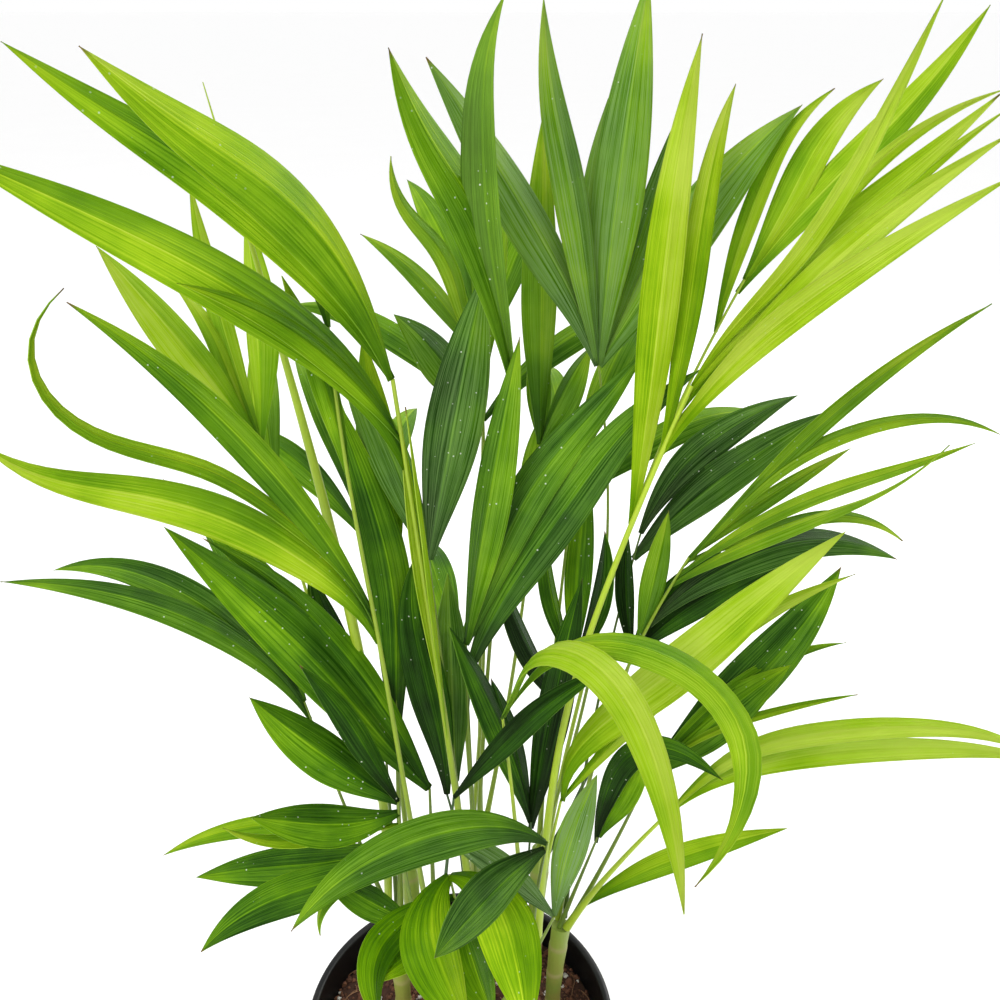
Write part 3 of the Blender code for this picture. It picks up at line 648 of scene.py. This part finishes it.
# Each leaflet: place along the stalk, heading, rise, length, width, roll, tone.
LEAVES = {
    "leaf_front_tall": Leaf("cane_centre", 250, 222, (84, 83), 291, 1.8, 0.05, (
        (1, (178, 182), (63, 49, 32, 36), 168, 17, 60, 0.59),
        (1, (223, 213, 200, 205), (77, 60, 35, 43), 149, 23, 60, 0.63),
        (0.87, (191, 187), (76, 41, 29, 26), 194, 21, 60, 0.61),
        (0.91, (199, 190), (62, 44, 16), 102, 9, 60, 0.6),
        (0.36, 235, (86, 84, 80), 176, 12, 50, 0.78),
        (0.42, 215, (86, 83, 84), 150, 10, 65, 0.76),
    )),
    "leaf_left_arching": Leaf("cane_front_left", 300, (219, 177, 101), (84, 85, 76), 322, 1.4, 0.08, (
        (0.63, (188, 184), (68, 60, 50, 35), 168, 13, 60, 0.55),
        (0.61, (183, 212), (80, 50, 47, 15, 63, 156), 201, 7, 50, 0.63),
        (0.59, (197, 188), (76, 49, 40, 21, 12, 51), 175, 17, 60, 0.67),
        (1, (130, 150), (78, 62), 60, 10, 40, 0.57),
        (0.82, (140, 150), (80, 62), 80, 10, 30, 0.57),
    )),
    "spear_left": Leaf("cane_left", 210, (190, 161, 164, 183), (94, 84, 79, 79), 413, 2.2, 0, ()),
    "leaf_left_fan": Leaf("cane_front_left", 215, 214, (78, 91), 103, 1.3, 0.05, (
        (1, (181, 179), (38, 44, 49), 85, 21, 45, 0.46),
        (0.94, 198, (-11, 21, 25), 68, 20, 35, 0.5),
        (0.92, (171, 171), (-12, -14, -39), 131, 10, 40, 0.62),
        (0.75, (177, 171), (-27, -10, -23), 109, 20, 35, 0.46),
        (0.69, (197, 198), (-15, -4, -50), 103, 19, 40, 0.44),
        (1, 172, (65, 65, 48), 82, 12, 45, 0.36),
        (0.87, 194, (4, -1, 45), 81, 7, 30, 0.66),
        (0.63, (185, 198), (-4, -36, -101), 66, 7, 30, 0.56),
        (0.19, (192, 185), (44, 43), 60, 16, 35, 0.46),
    )),
    "leaf_front_hanging": Leaf("cane_front", 260, 231, (85, 79), 123, 1.2, 0, (
        (1, (224, 298, 306), (-9, -43, -22), 67, 27, 10, 0.6),
        (1, (337, 294, 282), (28, -48, -59), 81, 26, -10, 0.62),
        (0.87, (188, 239, 315), (-12, -3, -64), 74, 16, 30, 0.48),
        (0.72, (232, 219), (16, -9), 50, 12, 20, 0.56),
        (0.78, 295, (-31, -39, -19), 46, 27, 25, 0.46),
    )),
    "leaf_back_left_upper": Leaf("cane_back_left", 150, (158, 147), (71, 77), 250, 1.4, 0.15, (
        (1, 66, (80, 93), 109, 19, 0, 0.72),
        (1, 138, (64, 84), 124, 11, 25, 0.7),
        (0.97, 203, (65, 56), 123, 21, 60, 0.72),
        (0.98, 152, (61, 72, 31), 95, 9, 40, 0.7),
        (0.88, (110, 95), (60, 35, 0), 120, 16, 0, 0.6),
    )),
    "leaf_back_tall": Leaf("cane_back", 200, 4, (85, 92), 274, 1.2, 0.25, (
        (1, (143, 158), (53, 41, 20), 81, 10, 35, 0.6),
        (1, (146, 161), (58, 78, 34, 98), 97, 9, 45, 0.66),
        (0.91, 163, (46, 53, 31), 60, 19, 45, 0.5),
        (0.96, (80, 90), (72, 58, 40), 118, 16, 0, 0.6),
    )),
    "leaf_back_centre": Leaf("cane_back", 20, 23, (79, 86), 230, 1.3, 0.2, (
        (1, 107, (88, 89), 148, 17, 0, 0.6),
        (1, 93, (69, 68), 55, 12, 0, 0.62),
        (1, 335, (72, 59), 57, 20, -50, 0.56),
        (0.78, 60, (84, 80), 64, 16, -20, 0.6),
    )),
    "leaf_top": Leaf("cane_back_right", 200, -7, (74, 84, 100), 289, 1.1, 0.55, (
        (1, 186, (72, 60, 57, 54), 142, 21, 60, 0.54),
        (1, 200, (79, 80, 73, 87), 146, 16, 80, 0.58),
        (1, 57, (85, 74), 154, 22, -20, 0.56),
        (1, (28, 15), (52, 55, 49, 34), 137, 24, -45, 0.6),
        (1, (124, 53), (74, 63), 113, 10, 0, 0.52),
        (1, (50, 45), (62, 64), 119, 10, -30, 0.52),
    )),
    "leaf_centre_narrow": Leaf("cane_centre", 60, (73, 10), (85, 84), 273, 1.3, 0.1, (
        (1, 229, (73, 75, 82, 91, 127), 150, 19, 0, 0.5),
        (0.98, (233, 204, 197), (83, 79, 53, 71), 145, 25, 60, 0.58),
    )),
    "leaf_centre_broad": Leaf("cane_centre", 130, 168, (86, 85), 195, 1.1, 0.35, (
        (1, 50, (74, 70), 127, 25, -35, 0.43),
        (1, (160, 170), (76, 62), 104, 18, 40, 0.52),
        (0.36, 100, (84, 82), 112, 18, 0, 0.5),
    )),
    "leaf_centre_pair": Leaf("cane_centre", 310, 166, (88, 89), 155, 1.1, 0.15, (
        (1, (25, 18), (70, 68, 44, 50), 156, 19, -50, 0.46),
        (0.89, 12, (73, 56, 56, 28), 176, 20, -60, 0.42),
        (1, (20, 38), (82, 76), 142, 18, -30, 0.53),
    )),
    "leaf_right_tall": Leaf("cane_front_right", 350, 17, (88, 85, 72, 68), 300, 2.1, 0, (
        (1, 346, (67, 51, 63, 71, 71), 156, 8, -55, 0.8),
        (0.99, 355, (59, 53, 42, 45), 148, 12, -55, 0.78),
        (0.96, (28, 17), (47, 51, 12), 185, 7, -50, 0.78),
        (0.94, 11, (50, 47, 33), 168, 8, -50, 0.8),
        (0.92, 343, (59, 52, 35), 159, 12, -60, 0.8),
        (0.9, 338, (66, 44, 34), 157, 12, -60, 0.8),
        (0.79, 67, (70, 82, 55), 196, 16, -20, 0.76),
        (0.9, 66, (51, 81, 30), 159, 11, -20, 0.72),
    )),
    "leaf_right_behind": Leaf("cane_back_right", 50, (36, -2), (80, 77, 65), 329, 1.3, 0.1, (
        (0.92, 10, (83, 77, 69, 31), 114, 9, -60, 0.7),
        (1, 22, (59, 65, 25), 103, 15, -45, 0.7),
        (0.98, 8, (56, 44, 58), 150, 15, -60, 0.68),
    )),
    "leaf_right_dark": Leaf("cane_right", 75, (65, 38), (81, 72), 226, 1.1, 0.25, (
        (1, (39, 24), (61, 23, 9), 116, 17, -40, 0.39),
        (0.94, 18, (48, 31, 24), 121, 20, -50, 0.43),
    )),
    "leaf_right_long": Leaf("cane_right", 140, (15, 20), (83, 79, 57), 229, 1.4, 0.2, (
        (1, 5, (51, 51, 41, 30), 173, 8, -50, 0.62),
        (0.98, 4, (52, 53, 26, 4, -31), 173, 7, -50, 0.62),
        (0.93, 344, (44, 35, 29, 58), 139, 10, (-55, 30), 0.68),
        (0.95, 355, (48, 35, 21, 26), 145, 7, -50, 0.66),
        (0.99, 10, (22, 12, -46), 119, 7, -40, 0.62),
        (1, 21, (35, 26, 20), 96, 8, -40, 0.66),
        (0.83, 13, (50, 29, 12, -15, -33), 145, 18, -35, 0.36),
        (0.78, 40, (76, 80), 70, 12, -40, 0.6),
    )),
    "leaf_front_lime": Leaf("cane_front_right", 80, 8, 81, 87, 1.4, 0.05, (
        (1, (352, 351, 352), (98, 52, 46, 52, 51, 47), 193, 21, (-40, -65, -70), 0.8),
        (1, (5, 5), (56, 49, 19), 177, 10, -60, 0.78),
    )),
    "leaf_right_broad": Leaf("cane_right", 0, 7, (67, 72), 107, 1.4, 0.08, (
        (1, 17, (37, 45, 66), 145, 27, -60, 0.42),
        (1, 9, (42, 45, 34), 92, 22, -35, 0.5),
        (1, 3, (53, 19, 8), 115, 4, -50, 0.62),
        (1, (21, 11), (54, 36, -3), 127, 7, -50, 0.5),
    )),
    "leaf_front_arching": Leaf("cane_front_right", 210, 228, (87, 81), 152, 1.4, 0.12, (
        (1, (287, 309, 313, 313, 294, 278), (58, 74, 18, -51, -59, -59), 184, 15, -20, 0.76),
        (1, (323, 335, 337, 337, 241, 203), (67, 59, 3, -36, -59, -39), 199, 15, -15, 0.66),
    )),
    "leaf_low_right": Leaf("cane_right", 295, (-15, 0), (68, 54), 102, 1.8, 0.05, (
        (1, 347, (64, 54, 23, 16, 3, -31), 190, 11, -35, 0.84),
        (1, 355, (57, 25, 10, 2, -16), 191, 12, -30, 0.82),
        (0.2, (2, 3), (44, 23, 13), 118, 13, -50, 0.66),
    )),
    "leaf_left_low": Leaf("cane_left", 150, 156, (70, 74), 132, 1.2, 0.15, (
        (0.92, (186, 183), (71, 43, 20, 1), 167, 13, 50, 0.47),
        (1, 170, (57, 45, 18, -22), 149, 16, 50, 0.46),
        (1, 140, (64, 50, 30), 120, 16, 30, 0.5),
    )),
    "leaf_left_broad": Leaf("cane_front_left", 60, 93, (84, 86), 93, 1.4, 0.05, (
        (1, 180, (51, 61, 54, 48, 48), 177, 26, 60, 0.48),
        (1, 169, (70, 61, 48, 23), 164, 14, 50, 0.46),
    )),
    "leaf_left_upright": Leaf("cane_left", 330, 58, (87, 88), 193, 1.4, 0.05, (
        (0.57, 180, (91, 93, 77, 72), 190, 19, 75, 0.44),
        (1, 115, (81, 77), 119, 19, 25, 0.58),
    )),
    "leaf_front_low": Leaf("cane_front_right", 280, 279, (79, 66), 105, 1.2, 0.15, (
        (1, (212, 209, 219), (53, 29, 7, -7, -43), 130, 19, 35, 0.48),
        (0.93, (231, 246), (15, 9, 17), 87, 19, 45, 0.4),
    )),
    "leaf_rear_tall": Leaf("cane_back", 80, 86, (86, 72), 270, 1.4, 0.12, (
        (1, 90, (66, 40, 5), 150, 19, 0, 0.58),
        (0.98, (122, 112), (62, 38, 8), 125, 17, 30, 0.55),
        (0.98, (62, 68), (60, 36, 5), 128, 17, -30, 0.56),
        (0.86, (165, 150), (55, 25, -15), 130, 16, 30, 0.54),
        (0.86, (20, 35), (52, 22, -18), 130, 16, -30, 0.52),
    )),
    "leaf_rear_left": Leaf("cane_back_left", 80, 112, (80, 62), 196, 1.4, 0.1, (
        (1, 115, (56, 28, -12), 140, 19, 0, 0.54),
        (0.94, (148, 138), (48, 20, -20), 125, 17, 30, 0.52),
        (0.94, (70, 85), (48, 20, -20), 120, 17, -30, 0.55),
    )),
    "leaf_rear_right": Leaf("cane_back_right", 120, 74, (82, 62), 214, 1.4, 0.1, (
        (1, 62, (58, 30, -8), 145, 20, 0, 0.56),
        (0.93, (100, 90), (48, 22, -20), 125, 17, 30, 0.54),
        (0.93, (10, 30), (44, 20, -22), 130, 17, -30, 0.52),
    )),
    "leaf_rear_low": Leaf("cane_back", 140, 100, (66, 48), 96, 1.4, 0.08, (
        (1, (108, 100), (32, 8, -30), 128, 21, 20, 0.5),
        (1, (62, 72), (32, 8, -30), 126, 20, -20, 0.52),
    )),
    "leaf_middle_dark": Leaf("cane_centre", 190, 192, (88, 78), 68, 1.2, 0.05, (
        (1, 167, (89, 79, 80, 102), 132, 19, 70, 0.35),
    )),
    "leaf_middle_long": Leaf("cane_front_left", 0, 307, (81, 81), 112, 1.2, 0.05, (
        (1, (-4, -2), (56, 52, 32), 99, 11, -60, 0.31),
    )),
    "leaf_centre_upright": Leaf("cane_back_right", 270, 311, (81, 84), 140, 1, 0.05, (
        (1, 165, (66, 78, 93), 79, 11, 30, 0.47),
        (1, 58, (94, 85, 81), 103, 13, -20, 0.5),
        (1, 25, (60, 80, 97), 72, 12, -20, 0.35),
        (0.78, (190, 172), (60, 74), 92, 15, 30, 0.3),
    )),
    "leaf_right_inner": Leaf("cane_back_right", 335, -6, (69, 79), 141, 1.2, 0.05, (
        (1, 9, (51, 31, 9), 94, 16, -55, 0.32),
        (1, 35, (70, 30, 13), 73, 11, -45, 0.35),
        (1, 104, (53, 97), 65, 10, 0, 0.27),
    )),
    "leaf_right_low": Leaf("cane_right", 230, 354, 75, 70, 1.2, 0.05, (
        (1, -2, (79, 60), 68, 21, -50, 0.57),
        (0.94, (355, 349, 341, 336), (90, 80, 76, 44, -20, -33), 113, 14, -55, 0.33),
    )),
    "leaf_front_under": Leaf("cane_front", 320, 338, (66, 73), 101, 1.3, 0.9, (
        (1, (165, 173), (49, 42, 13), 68, 13, 40, 0.45),
        (1, (25, 10), (84, 71), 81, 15, -50, 0.6),
    )),
    "leaf_centre_low": Leaf("cane_front_right", 145, 69, 82, 68, 1, 0.05, (
        (1, (185, 196), (81, 71, 66), 126, 17, 45, 0.34),
        (1, (161, 161), (81, 71), 84, 15, 30, 0.27),
        (0.94, (42, 36), (80, 76), 136, 17, -30, 0.29),
    )),
    "leaf_left_inner": Leaf("cane_left", 75, 111, 88, 115, 1.2, 0.05, (
        (1, 172, (64, 73, 75), 95, 13, 45, 0.33),
        (1, 168, (65, 50, 45), 161, 13, 50, 0.53),
        (0.9, 166, (55, 89), 105, 10, 30, 0.46),
    )),
}
SOCKET_DEPTH = 9 * MM
STALK_RING_RADIUS = 3.8 * MM
STALK_STEPS = 28
BLADE_STEPS = 30
BLADE_STRIPS = 12
RIPPLES_PER_M = 14.0
RIPPLE_DRIFT = 0.25
STALK_THINNING = 0.55
FOOT_STOUTNESS = 0.35
FOOT_REACH = 25
SPEAR_POINT = 0.2 * MM


def value_at(values, share):
    """The value at a share of the way through a sequence of evenly spaced values, or the one value given."""
    if isinstance(values, (int, float)):
        return values
    place = min(max(share, 0), 1) * (len(values) - 1)
    before = min(int(place), len(values) - 2)
    return values[before] + (values[before + 1] - values[before]) * (place - before)


def smooth_value(values, share):
    """The same, eased a little so that a curve through the values has no kinks."""
    reach = 0.08
    return sum(value_at(values, share + reach * offset) for offset in (-1, -0.5, 0, 0.5, 1)) / 5


def directions_at(heading, rise, roll):
    """The forward, across and upper directions, from angles in degrees."""
    turn, lift, twist = math.radians(heading), math.radians(rise), math.radians(roll)
    forward = Vector((math.cos(lift) * math.cos(turn), math.cos(lift) * math.sin(turn), math.sin(lift)))
    level = Vector((math.sin(turn), -math.cos(turn), 0))
    above = Vector((-math.sin(lift) * math.cos(turn), -math.sin(lift) * math.sin(turn), math.cos(lift)))
    return (forward, level * math.cos(twist) + above * math.sin(twist),
            above * math.cos(twist) - level * math.sin(twist))


def bent_line(start, heading, rise, roll, length, steps):
    """Stations along a curve whose heading and rise change from start to end."""
    finer = 4
    strides = steps * finer
    point = Vector(start)
    stations = []
    for step in range(strides + 1):
        share = step / strides
        if step % finer == 0:
            turned = smooth_value(heading, share)
            _, across, upper = directions_at(turned, smooth_value(rise, share), value_at(roll, share))
            stations.append((share, point.copy(), across, upper))
        half_on = share + 0.5 / strides
        forward = directions_at(smooth_value(heading, half_on), smooth_value(rise, half_on), 0)[0]
        point += forward * length / strides
    return stations


def stalk_line(leaf):
    """The line of a stalk, which starts inside its cane's top."""
    side = math.radians(leaf.side)
    ring = Vector((STALK_RING_RADIUS * math.cos(side), STALK_RING_RADIUS * math.sin(side), -SOCKET_DEPTH))
    foot = soil_place(*CANES[leaf.cane]["top"]) + ring
    return bent_line(foot, leaf.heading, leaf.rise, 0, leaf.length * MM, STALK_STEPS)


def stalk_radius(leaf, share):
    """A stalk is stout at its foot and thins to its tip. An unopened spear is fuller and ends sharp."""
    if not leaf.leaflets:
        fullness = 0.8 + 0.3 * math.sin(math.pi * share)
        return leaf.radius * MM * fullness * (1 - share ** 3) + SPEAR_POINT
    stout = 1 + FOOT_STOUTNESS * math.exp(-share * leaf.length / FOOT_REACH)
    return leaf.radius * MM * stout * (1 - STALK_THINNING * share)


blade_tree, given = new_node_tree("leaf of pleated blades", {
    "Blade Steps": ("Int", BLADE_STEPS), "Blade Strips": ("Int", BLADE_STRIPS), "Neck": ("Float", 0.16),
    "Shoulder": ("Float", 0.48), "Base Slimness": ("Float", 1.2), "Tip Sharpness": ("Float", 1.05),
    "Fold": ("Float", 0.2), "Pleats": ("Float", 5.0), "Pleat Depth": ("Float", 0.7 * MM),
    "Ripple": ("Float", 1.2 * MM), "Thickness": ("Float", 0.35 * MM), "Stalk Sides": ("Int", 12),
    "Stalk Material": ("Material", None), "Blade Material": ("Material", None)})
ground = given["Geometry"]
blade_lines = ground.node("GeometryNodeSeparateGeometry", {"domain": "POINT"},
                          {"Geometry": ground, "Selection": named_value(ground, "blade") > 0.5}, "Selection")
stalk_lines = ground.node("GeometryNodeMeshToCurve", {}, {"Mesh": blade_lines.beside("Inverted")})
stalk_ring = ground.node("GeometryNodeCurvePrimitiveCircle", {"mode": "RADIUS"},
                         {"Resolution": given["Stalk Sides"], "Radius": 1.0})
stalks = ground.node("GeometryNodeCurveToMesh", {}, {
    "Curve": stalk_lines, "Profile Curve": stalk_ring, "Scale": named_value(ground, "half"),
    "Fill Caps": True})

rib_lines = blade_lines.node("GeometryNodeMeshToCurve", {}, {"Mesh": blade_lines})
blade_count = rib_lines.node("GeometryNodeAttributeDomainSize", {"component": "CURVE"},
                             {"Geometry": rib_lines}, "Spline Count")
seats = ground.node("GeometryNodePoints", {}, {"Count": blade_count})
seats = stored(seats, "blade_number", ground.node("GeometryNodeInputIndex"), kind="INT")
strip = ground.node("GeometryNodeMeshGrid", {}, {
    "Size X": 1.0, "Size Y": 2.0, "Vertices X": given["Blade Steps"] + 1,
    "Vertices Y": given["Blade Strips"] + 1})
grid_place = ground.node("GeometryNodeInputPosition")
grid_axes = ground.node("ShaderNodeSeparateXYZ", {}, {0: grid_place}, "X")
strip = stored(stored(strip, "along", grid_axes + 0.5), "across", grid_axes.beside("Y"))
blades = seats.node("GeometryNodeInstanceOnPoints", {}, {"Points": seats, "Instance": strip})
blades = blades.node("GeometryNodeRealizeInstances", {}, {"Geometry": blades})
along = named_value(ground, "along")
across = named_value(ground, "across")
blade_number = named_value(ground, "blade_number", "INT")


def on_rib(name, kind):
    """A value stored along each blade's rib, read all over the blade; beside it is the rib's position."""
    values = {"Curves": rib_lines, "Value": named_value(ground, name, kind), "Factor": along,
              "Curve Index": blade_number}
    return ground.node("GeometryNodeSampleCurve", {"mode": "FACTOR", "data_type": kind}, values, "Value")


rise_share = (along / given["Shoulder"]).maths("MINIMUM", 1.0) ** given["Base Slimness"] * (math.pi / 2)
swell = given["Neck"] + (1 - given["Neck"]) * rise_share.maths("SINE")
past_shoulder = ((along - given["Shoulder"]) / (1 - given["Shoulder"])).maths("MAXIMUM", 0.0)
taper = (1 - past_shoulder ** 2.0).maths("MAXIMUM", 0.0) ** given["Tip Sharpness"]
breadth = swell * taper
half = on_rib("half", "FLOAT") * breadth
rib_across = on_rib("across_way", "FLOAT_VECTOR")
rib_upper = on_rib("upper_way", "FLOAT_VECTOR")
rib_place = rib_across.beside("Position")
pleat = (across * given["Pleats"]).maths("PINGPONG", 1.0) - 0.5
wave_place = rib_place.scaled(RIPPLES_PER_M) + rib_across.scaled(across * RIPPLE_DRIFT)
wave = ground.node("ShaderNodeTexNoise", {}, {"Vector": wave_place, "Scale": 1.0, "Detail": 1.0}) - 0.5
lift = (across.maths("ABSOLUTE") * (-2.0 * given["Fold"]) * half + pleat * given["Pleat Depth"] * breadth
        + wave * across.maths("ABSOLUTE") * given["Ripple"] * 2.0)
blades = blades.node("GeometryNodeSetPosition", {}, {
    "Geometry": blades, "Position": rib_place + rib_across.scaled(across * half) + rib_upper.scaled(lift)})
for leaf_value in ("tone", "bloom", "chance"):
    blades = stored(blades, leaf_value, on_rib(leaf_value, "FLOAT"))
undersides = blades.node("GeometryNodeExtrudeMesh", {"mode": "FACES"}, {
    "Mesh": blades, "Offset Scale": given["Thickness"], "Individual": False}, "Mesh")
undersides = stored(undersides, "under", 1.0, "FACE")
uppersides = stored(blades.node("GeometryNodeFlipFaces", {}, {"Mesh": blades}), "under", 0.0, "FACE")


def joined(tree, *parts):
    join = tree.nodes.new("GeometryNodeJoinGeometry")
    for part in reversed(parts):
        tree.links.new(part.socket, join.inputs[0])
    return Wire(join.outputs[0])


shells = joined(blade_tree, undersides, uppersides)
shells = shells.node("GeometryNodeMergeByDistance", {}, {"Geometry": shells, "Distance": 0.01 * MM})
leaf_geometry = joined(blade_tree, stalks, stored(shells, "is_blade", 1.0, "FACE"))
is_blade = named_value(ground, "is_blade") > 0.5
finish_tree(blade_tree, leaf_geometry,
            [(given["Stalk Material"], None), (given["Blade Material"], is_blade)])

# Leaf skin: parallel veins run the length of a blade, the rib and edges are paler, the underside is paler
# and greyer, a few tips are dry, and dried drops of hard water leave small white specks.
SHEEN_GREY_GREEN = (0.20, 0.33, 0.12, 1)
UNDER_GREEN = (0.22, 0.38, 0.06, 1)
DRY_BROWN = (0.24, 0.13, 0.05, 1)
SPECK_WHITE = (0.80, 0.86, 0.72, 1)
LIT_THROUGH = (0.34, 0.62, 0.004, 1)
# The darkest stops are painted shade: near-black greens for the leaflets deep inside the plant.
TONE_STOPS = [(0.25, (0.002, 0.012, 0.0)), (0.4, (0.014, 0.064, 0.0)), (0.5, (0.050, 0.155, 0.0)),
              (0.6, (0.120, 0.280, 0.0)), (0.7, (0.235, 0.44, 0.004)), (0.8, (0.43, 0.63, 0.012)),
              (0.95, (0.65, 0.79, 0.09))]
blade_skin, blade_shader = new_material("leaf_blade")
on_leaf = place_on(blade_skin)
along_blade = attribute(blade_skin, "along")
across_blade = attribute(blade_skin, "across")
chance = attribute(blade_skin, "chance")
tone = attribute(blade_skin, "tone")
vein_place = along_blade.node("ShaderNodeCombineXYZ", {}, {
    "X": across_blade * 9.0, "Y": along_blade * 0.9, "Z": chance * 40.0})
veins = grain(vein_place, 2.0, 4, 0.7)
fine_place = along_blade.node("ShaderNodeCombineXYZ", {}, {
    "X": across_blade * 46.0, "Y": along_blade * 2.0, "Z": chance * 70.0})
fine_veins = grain(fine_place, 1.0, 2, 0.5)
patches = grain(on_leaf, 26, 3, 0.55)
rib_line = 1 - across_blade.maths("ABSOLUTE").ramped(0.02, 0.09)
edge_line = across_blade.maths("ABSOLUTE").ramped(0.93, 1.0)
# Painted light and shade across the fold: one half of each leaflet is painted lighter and the other darker,
# as light falls on a folded blade.
painted_lit_half = across_blade * (2 * (chance > 0.5) - 1)
shade = 1.07 * tone + 0.50 * (veins - 0.5) + 0.18 * (fine_veins - 0.5) + 0.40 * (patches - 0.5)
shade = shade + 0.06 * rib_line + 0.04 * painted_lit_half.maths("SIGN") + 0.05 * edge_line
# Lighter towards each leaflet's tip, and darker towards its foot, which is painted shade where the leaflets
# crowd round the stalk.
shade = shade + 0.08 * along_blade.ramped(0.6, 1.0) - 0.13 * (1 - along_blade.ramped(0.0, 0.3))
green = shade.node("ShaderNodeValToRGB", {"stops": TONE_STOPS}, {0: shade})
# Painted sheen: pale grey-green streaks along the veins stand for the leaves' sheen, strongest on the leaves
# given the most.
painted_sheen_mask = (attribute(blade_skin, "bloom") * veins.ramped(0.35, 0.65) * 1.3).clamped()
green = painted_sheen_mask.blended(green, SHEEN_GREY_GREEN)
green = (attribute(blade_skin, "under") * 0.3).blended(green, UNDER_GREEN)
dry_tip = (along_blade + 0.03 * veins).ramped(0.985, 1.015) * chance.ramped(0.35, 0.55)
green = dry_tip.blended(green, DRY_BROWN)
speck = on_leaf.node("ShaderNodeTexVoronoi", {}, {"Vector": on_leaf, "Scale": 330.0})
speck_pick = speck.beside("Color").node("ShaderNodeSeparateColor", {}, {0: speck.beside("Color")}, "Red")
speck_field = grain(on_leaf, 18).ramped(0.5, 0.6) * (1 - 0.8 * tone.ramped(0.5, 0.7))
speck_mask = (1 - speck.ramped(0.08, 0.15)) * (speck_pick > 0.6) * speck_field
green = (speck_mask * 0.75).blended(green, SPECK_WHITE)
feed(blade_shader, Base_Color=green, Roughness=0.30 + 0.16 * veins + 0.2 * speck_mask + 0.15 * dry_tip,
     Normal=bumped(veins * 0.6 + fine_veins * 0.4, 0.6 * MM), IOR=1.36, Specular_IOR_Level=0.1)
through = add_node(blade_skin.node_tree, "ShaderNodeBsdfTranslucent", {}, {"Color": LIT_THROUGH})
blade_mix = blade_skin.node_tree.nodes.new("ShaderNodeMixShader")
blade_links = blade_skin.node_tree.links
blade_links.new((0.42 * tone.ramped(0.35, 0.9)).socket, blade_mix.inputs[0])
blade_links.new(blade_shader.outputs[0], blade_mix.inputs[1])
blade_links.new(through.socket, blade_mix.inputs[2])
blade_links.new(blade_mix.outputs[0], blade_skin.node_tree.nodes["Material Output"].inputs["Surface"])

stalk_skin, stalk_shader = new_material("leaf_stalk")
on_stalk = place_on(stalk_skin)
stalk_streaks = grain(on_stalk.vector("MULTIPLY", (1800, 1800, 90)), 1.0, 2, 0.6)
stalk_patches = grain(on_stalk, 60, 3)
stalk_tone = attribute(stalk_skin, "tone") + 0.25 * (stalk_streaks - 0.5) + 0.2 * (stalk_patches - 0.5)
DEEP_STALK = (0.02, 0.07, 0.003, 1)
LIME_STALK = (0.46, 0.62, 0.02, 1)
feed(stalk_shader, Base_Color=stalk_tone.clamped().blended(DEEP_STALK, LIME_STALK),
     Roughness=0.36 + 0.15 * stalk_patches, Normal=bumped(stalk_streaks, 0.25 * MM))
SPEAR_TONE = 0.7
DEEPEST_TONE = 0.35
STALK_CONTRAST = 1.8

for leaf_name, leaf in LEAVES.items():
    stem = stalk_line(leaf)
    # A stalk's tone follows the mean tone of its leaflets, painted shade included, so stalks deep in the
    # plant are darker.
    tones = [leaflet[-1] for leaflet in leaf.leaflets] or [SPEAR_TONE]
    stem_tone = STALK_CONTRAST * (sum(tones) / len(tones) - DEEPEST_TONE)
    stem_values = {"tone": stem_tone, "bloom": 0.0, "chance": 0.0, "blade": 0.0}
    lines = [[{"place": point, "half": stalk_radius(leaf, share), "across_way": across_way,
               "upper_way": upper_way, **stem_values} for share, point, across_way, upper_way in stem]]
    for number, (place, heading, rise, length, width, roll, blade_tone) in enumerate(leaf.leaflets, 1):
        at = place * STALK_STEPS
        before = min(int(at), STALK_STEPS - 1)
        neck = stem[before][1].lerp(stem[before + 1][1], at - before)
        blade_values = {"half": width * MM / 2, "tone": blade_tone, "bloom": leaf.bloom,
                        "chance": (len(leaf_name) * 0.37 + number * 0.618) % 1, "blade": 1.0}
        rib = bent_line(neck, heading, rise, roll, length * MM, BLADE_STEPS)
        lines.append([{"place": point, "across_way": across_way, "upper_way": upper_way, **blade_values}
                      for _, point, across_way, upper_way in rib])
    leaf_mesh = grown_mesh(leaf_name, line_mesh(leaf_name, lines), blade_tree,
                           {"Stalk Material": stalk_skin, "Blade Material": blade_skin})
    leaf_mesh.shade_smooth()
    new_piece(f"grown_{leaf_name}", leaf_mesh, leaf_name, "leaf_green")
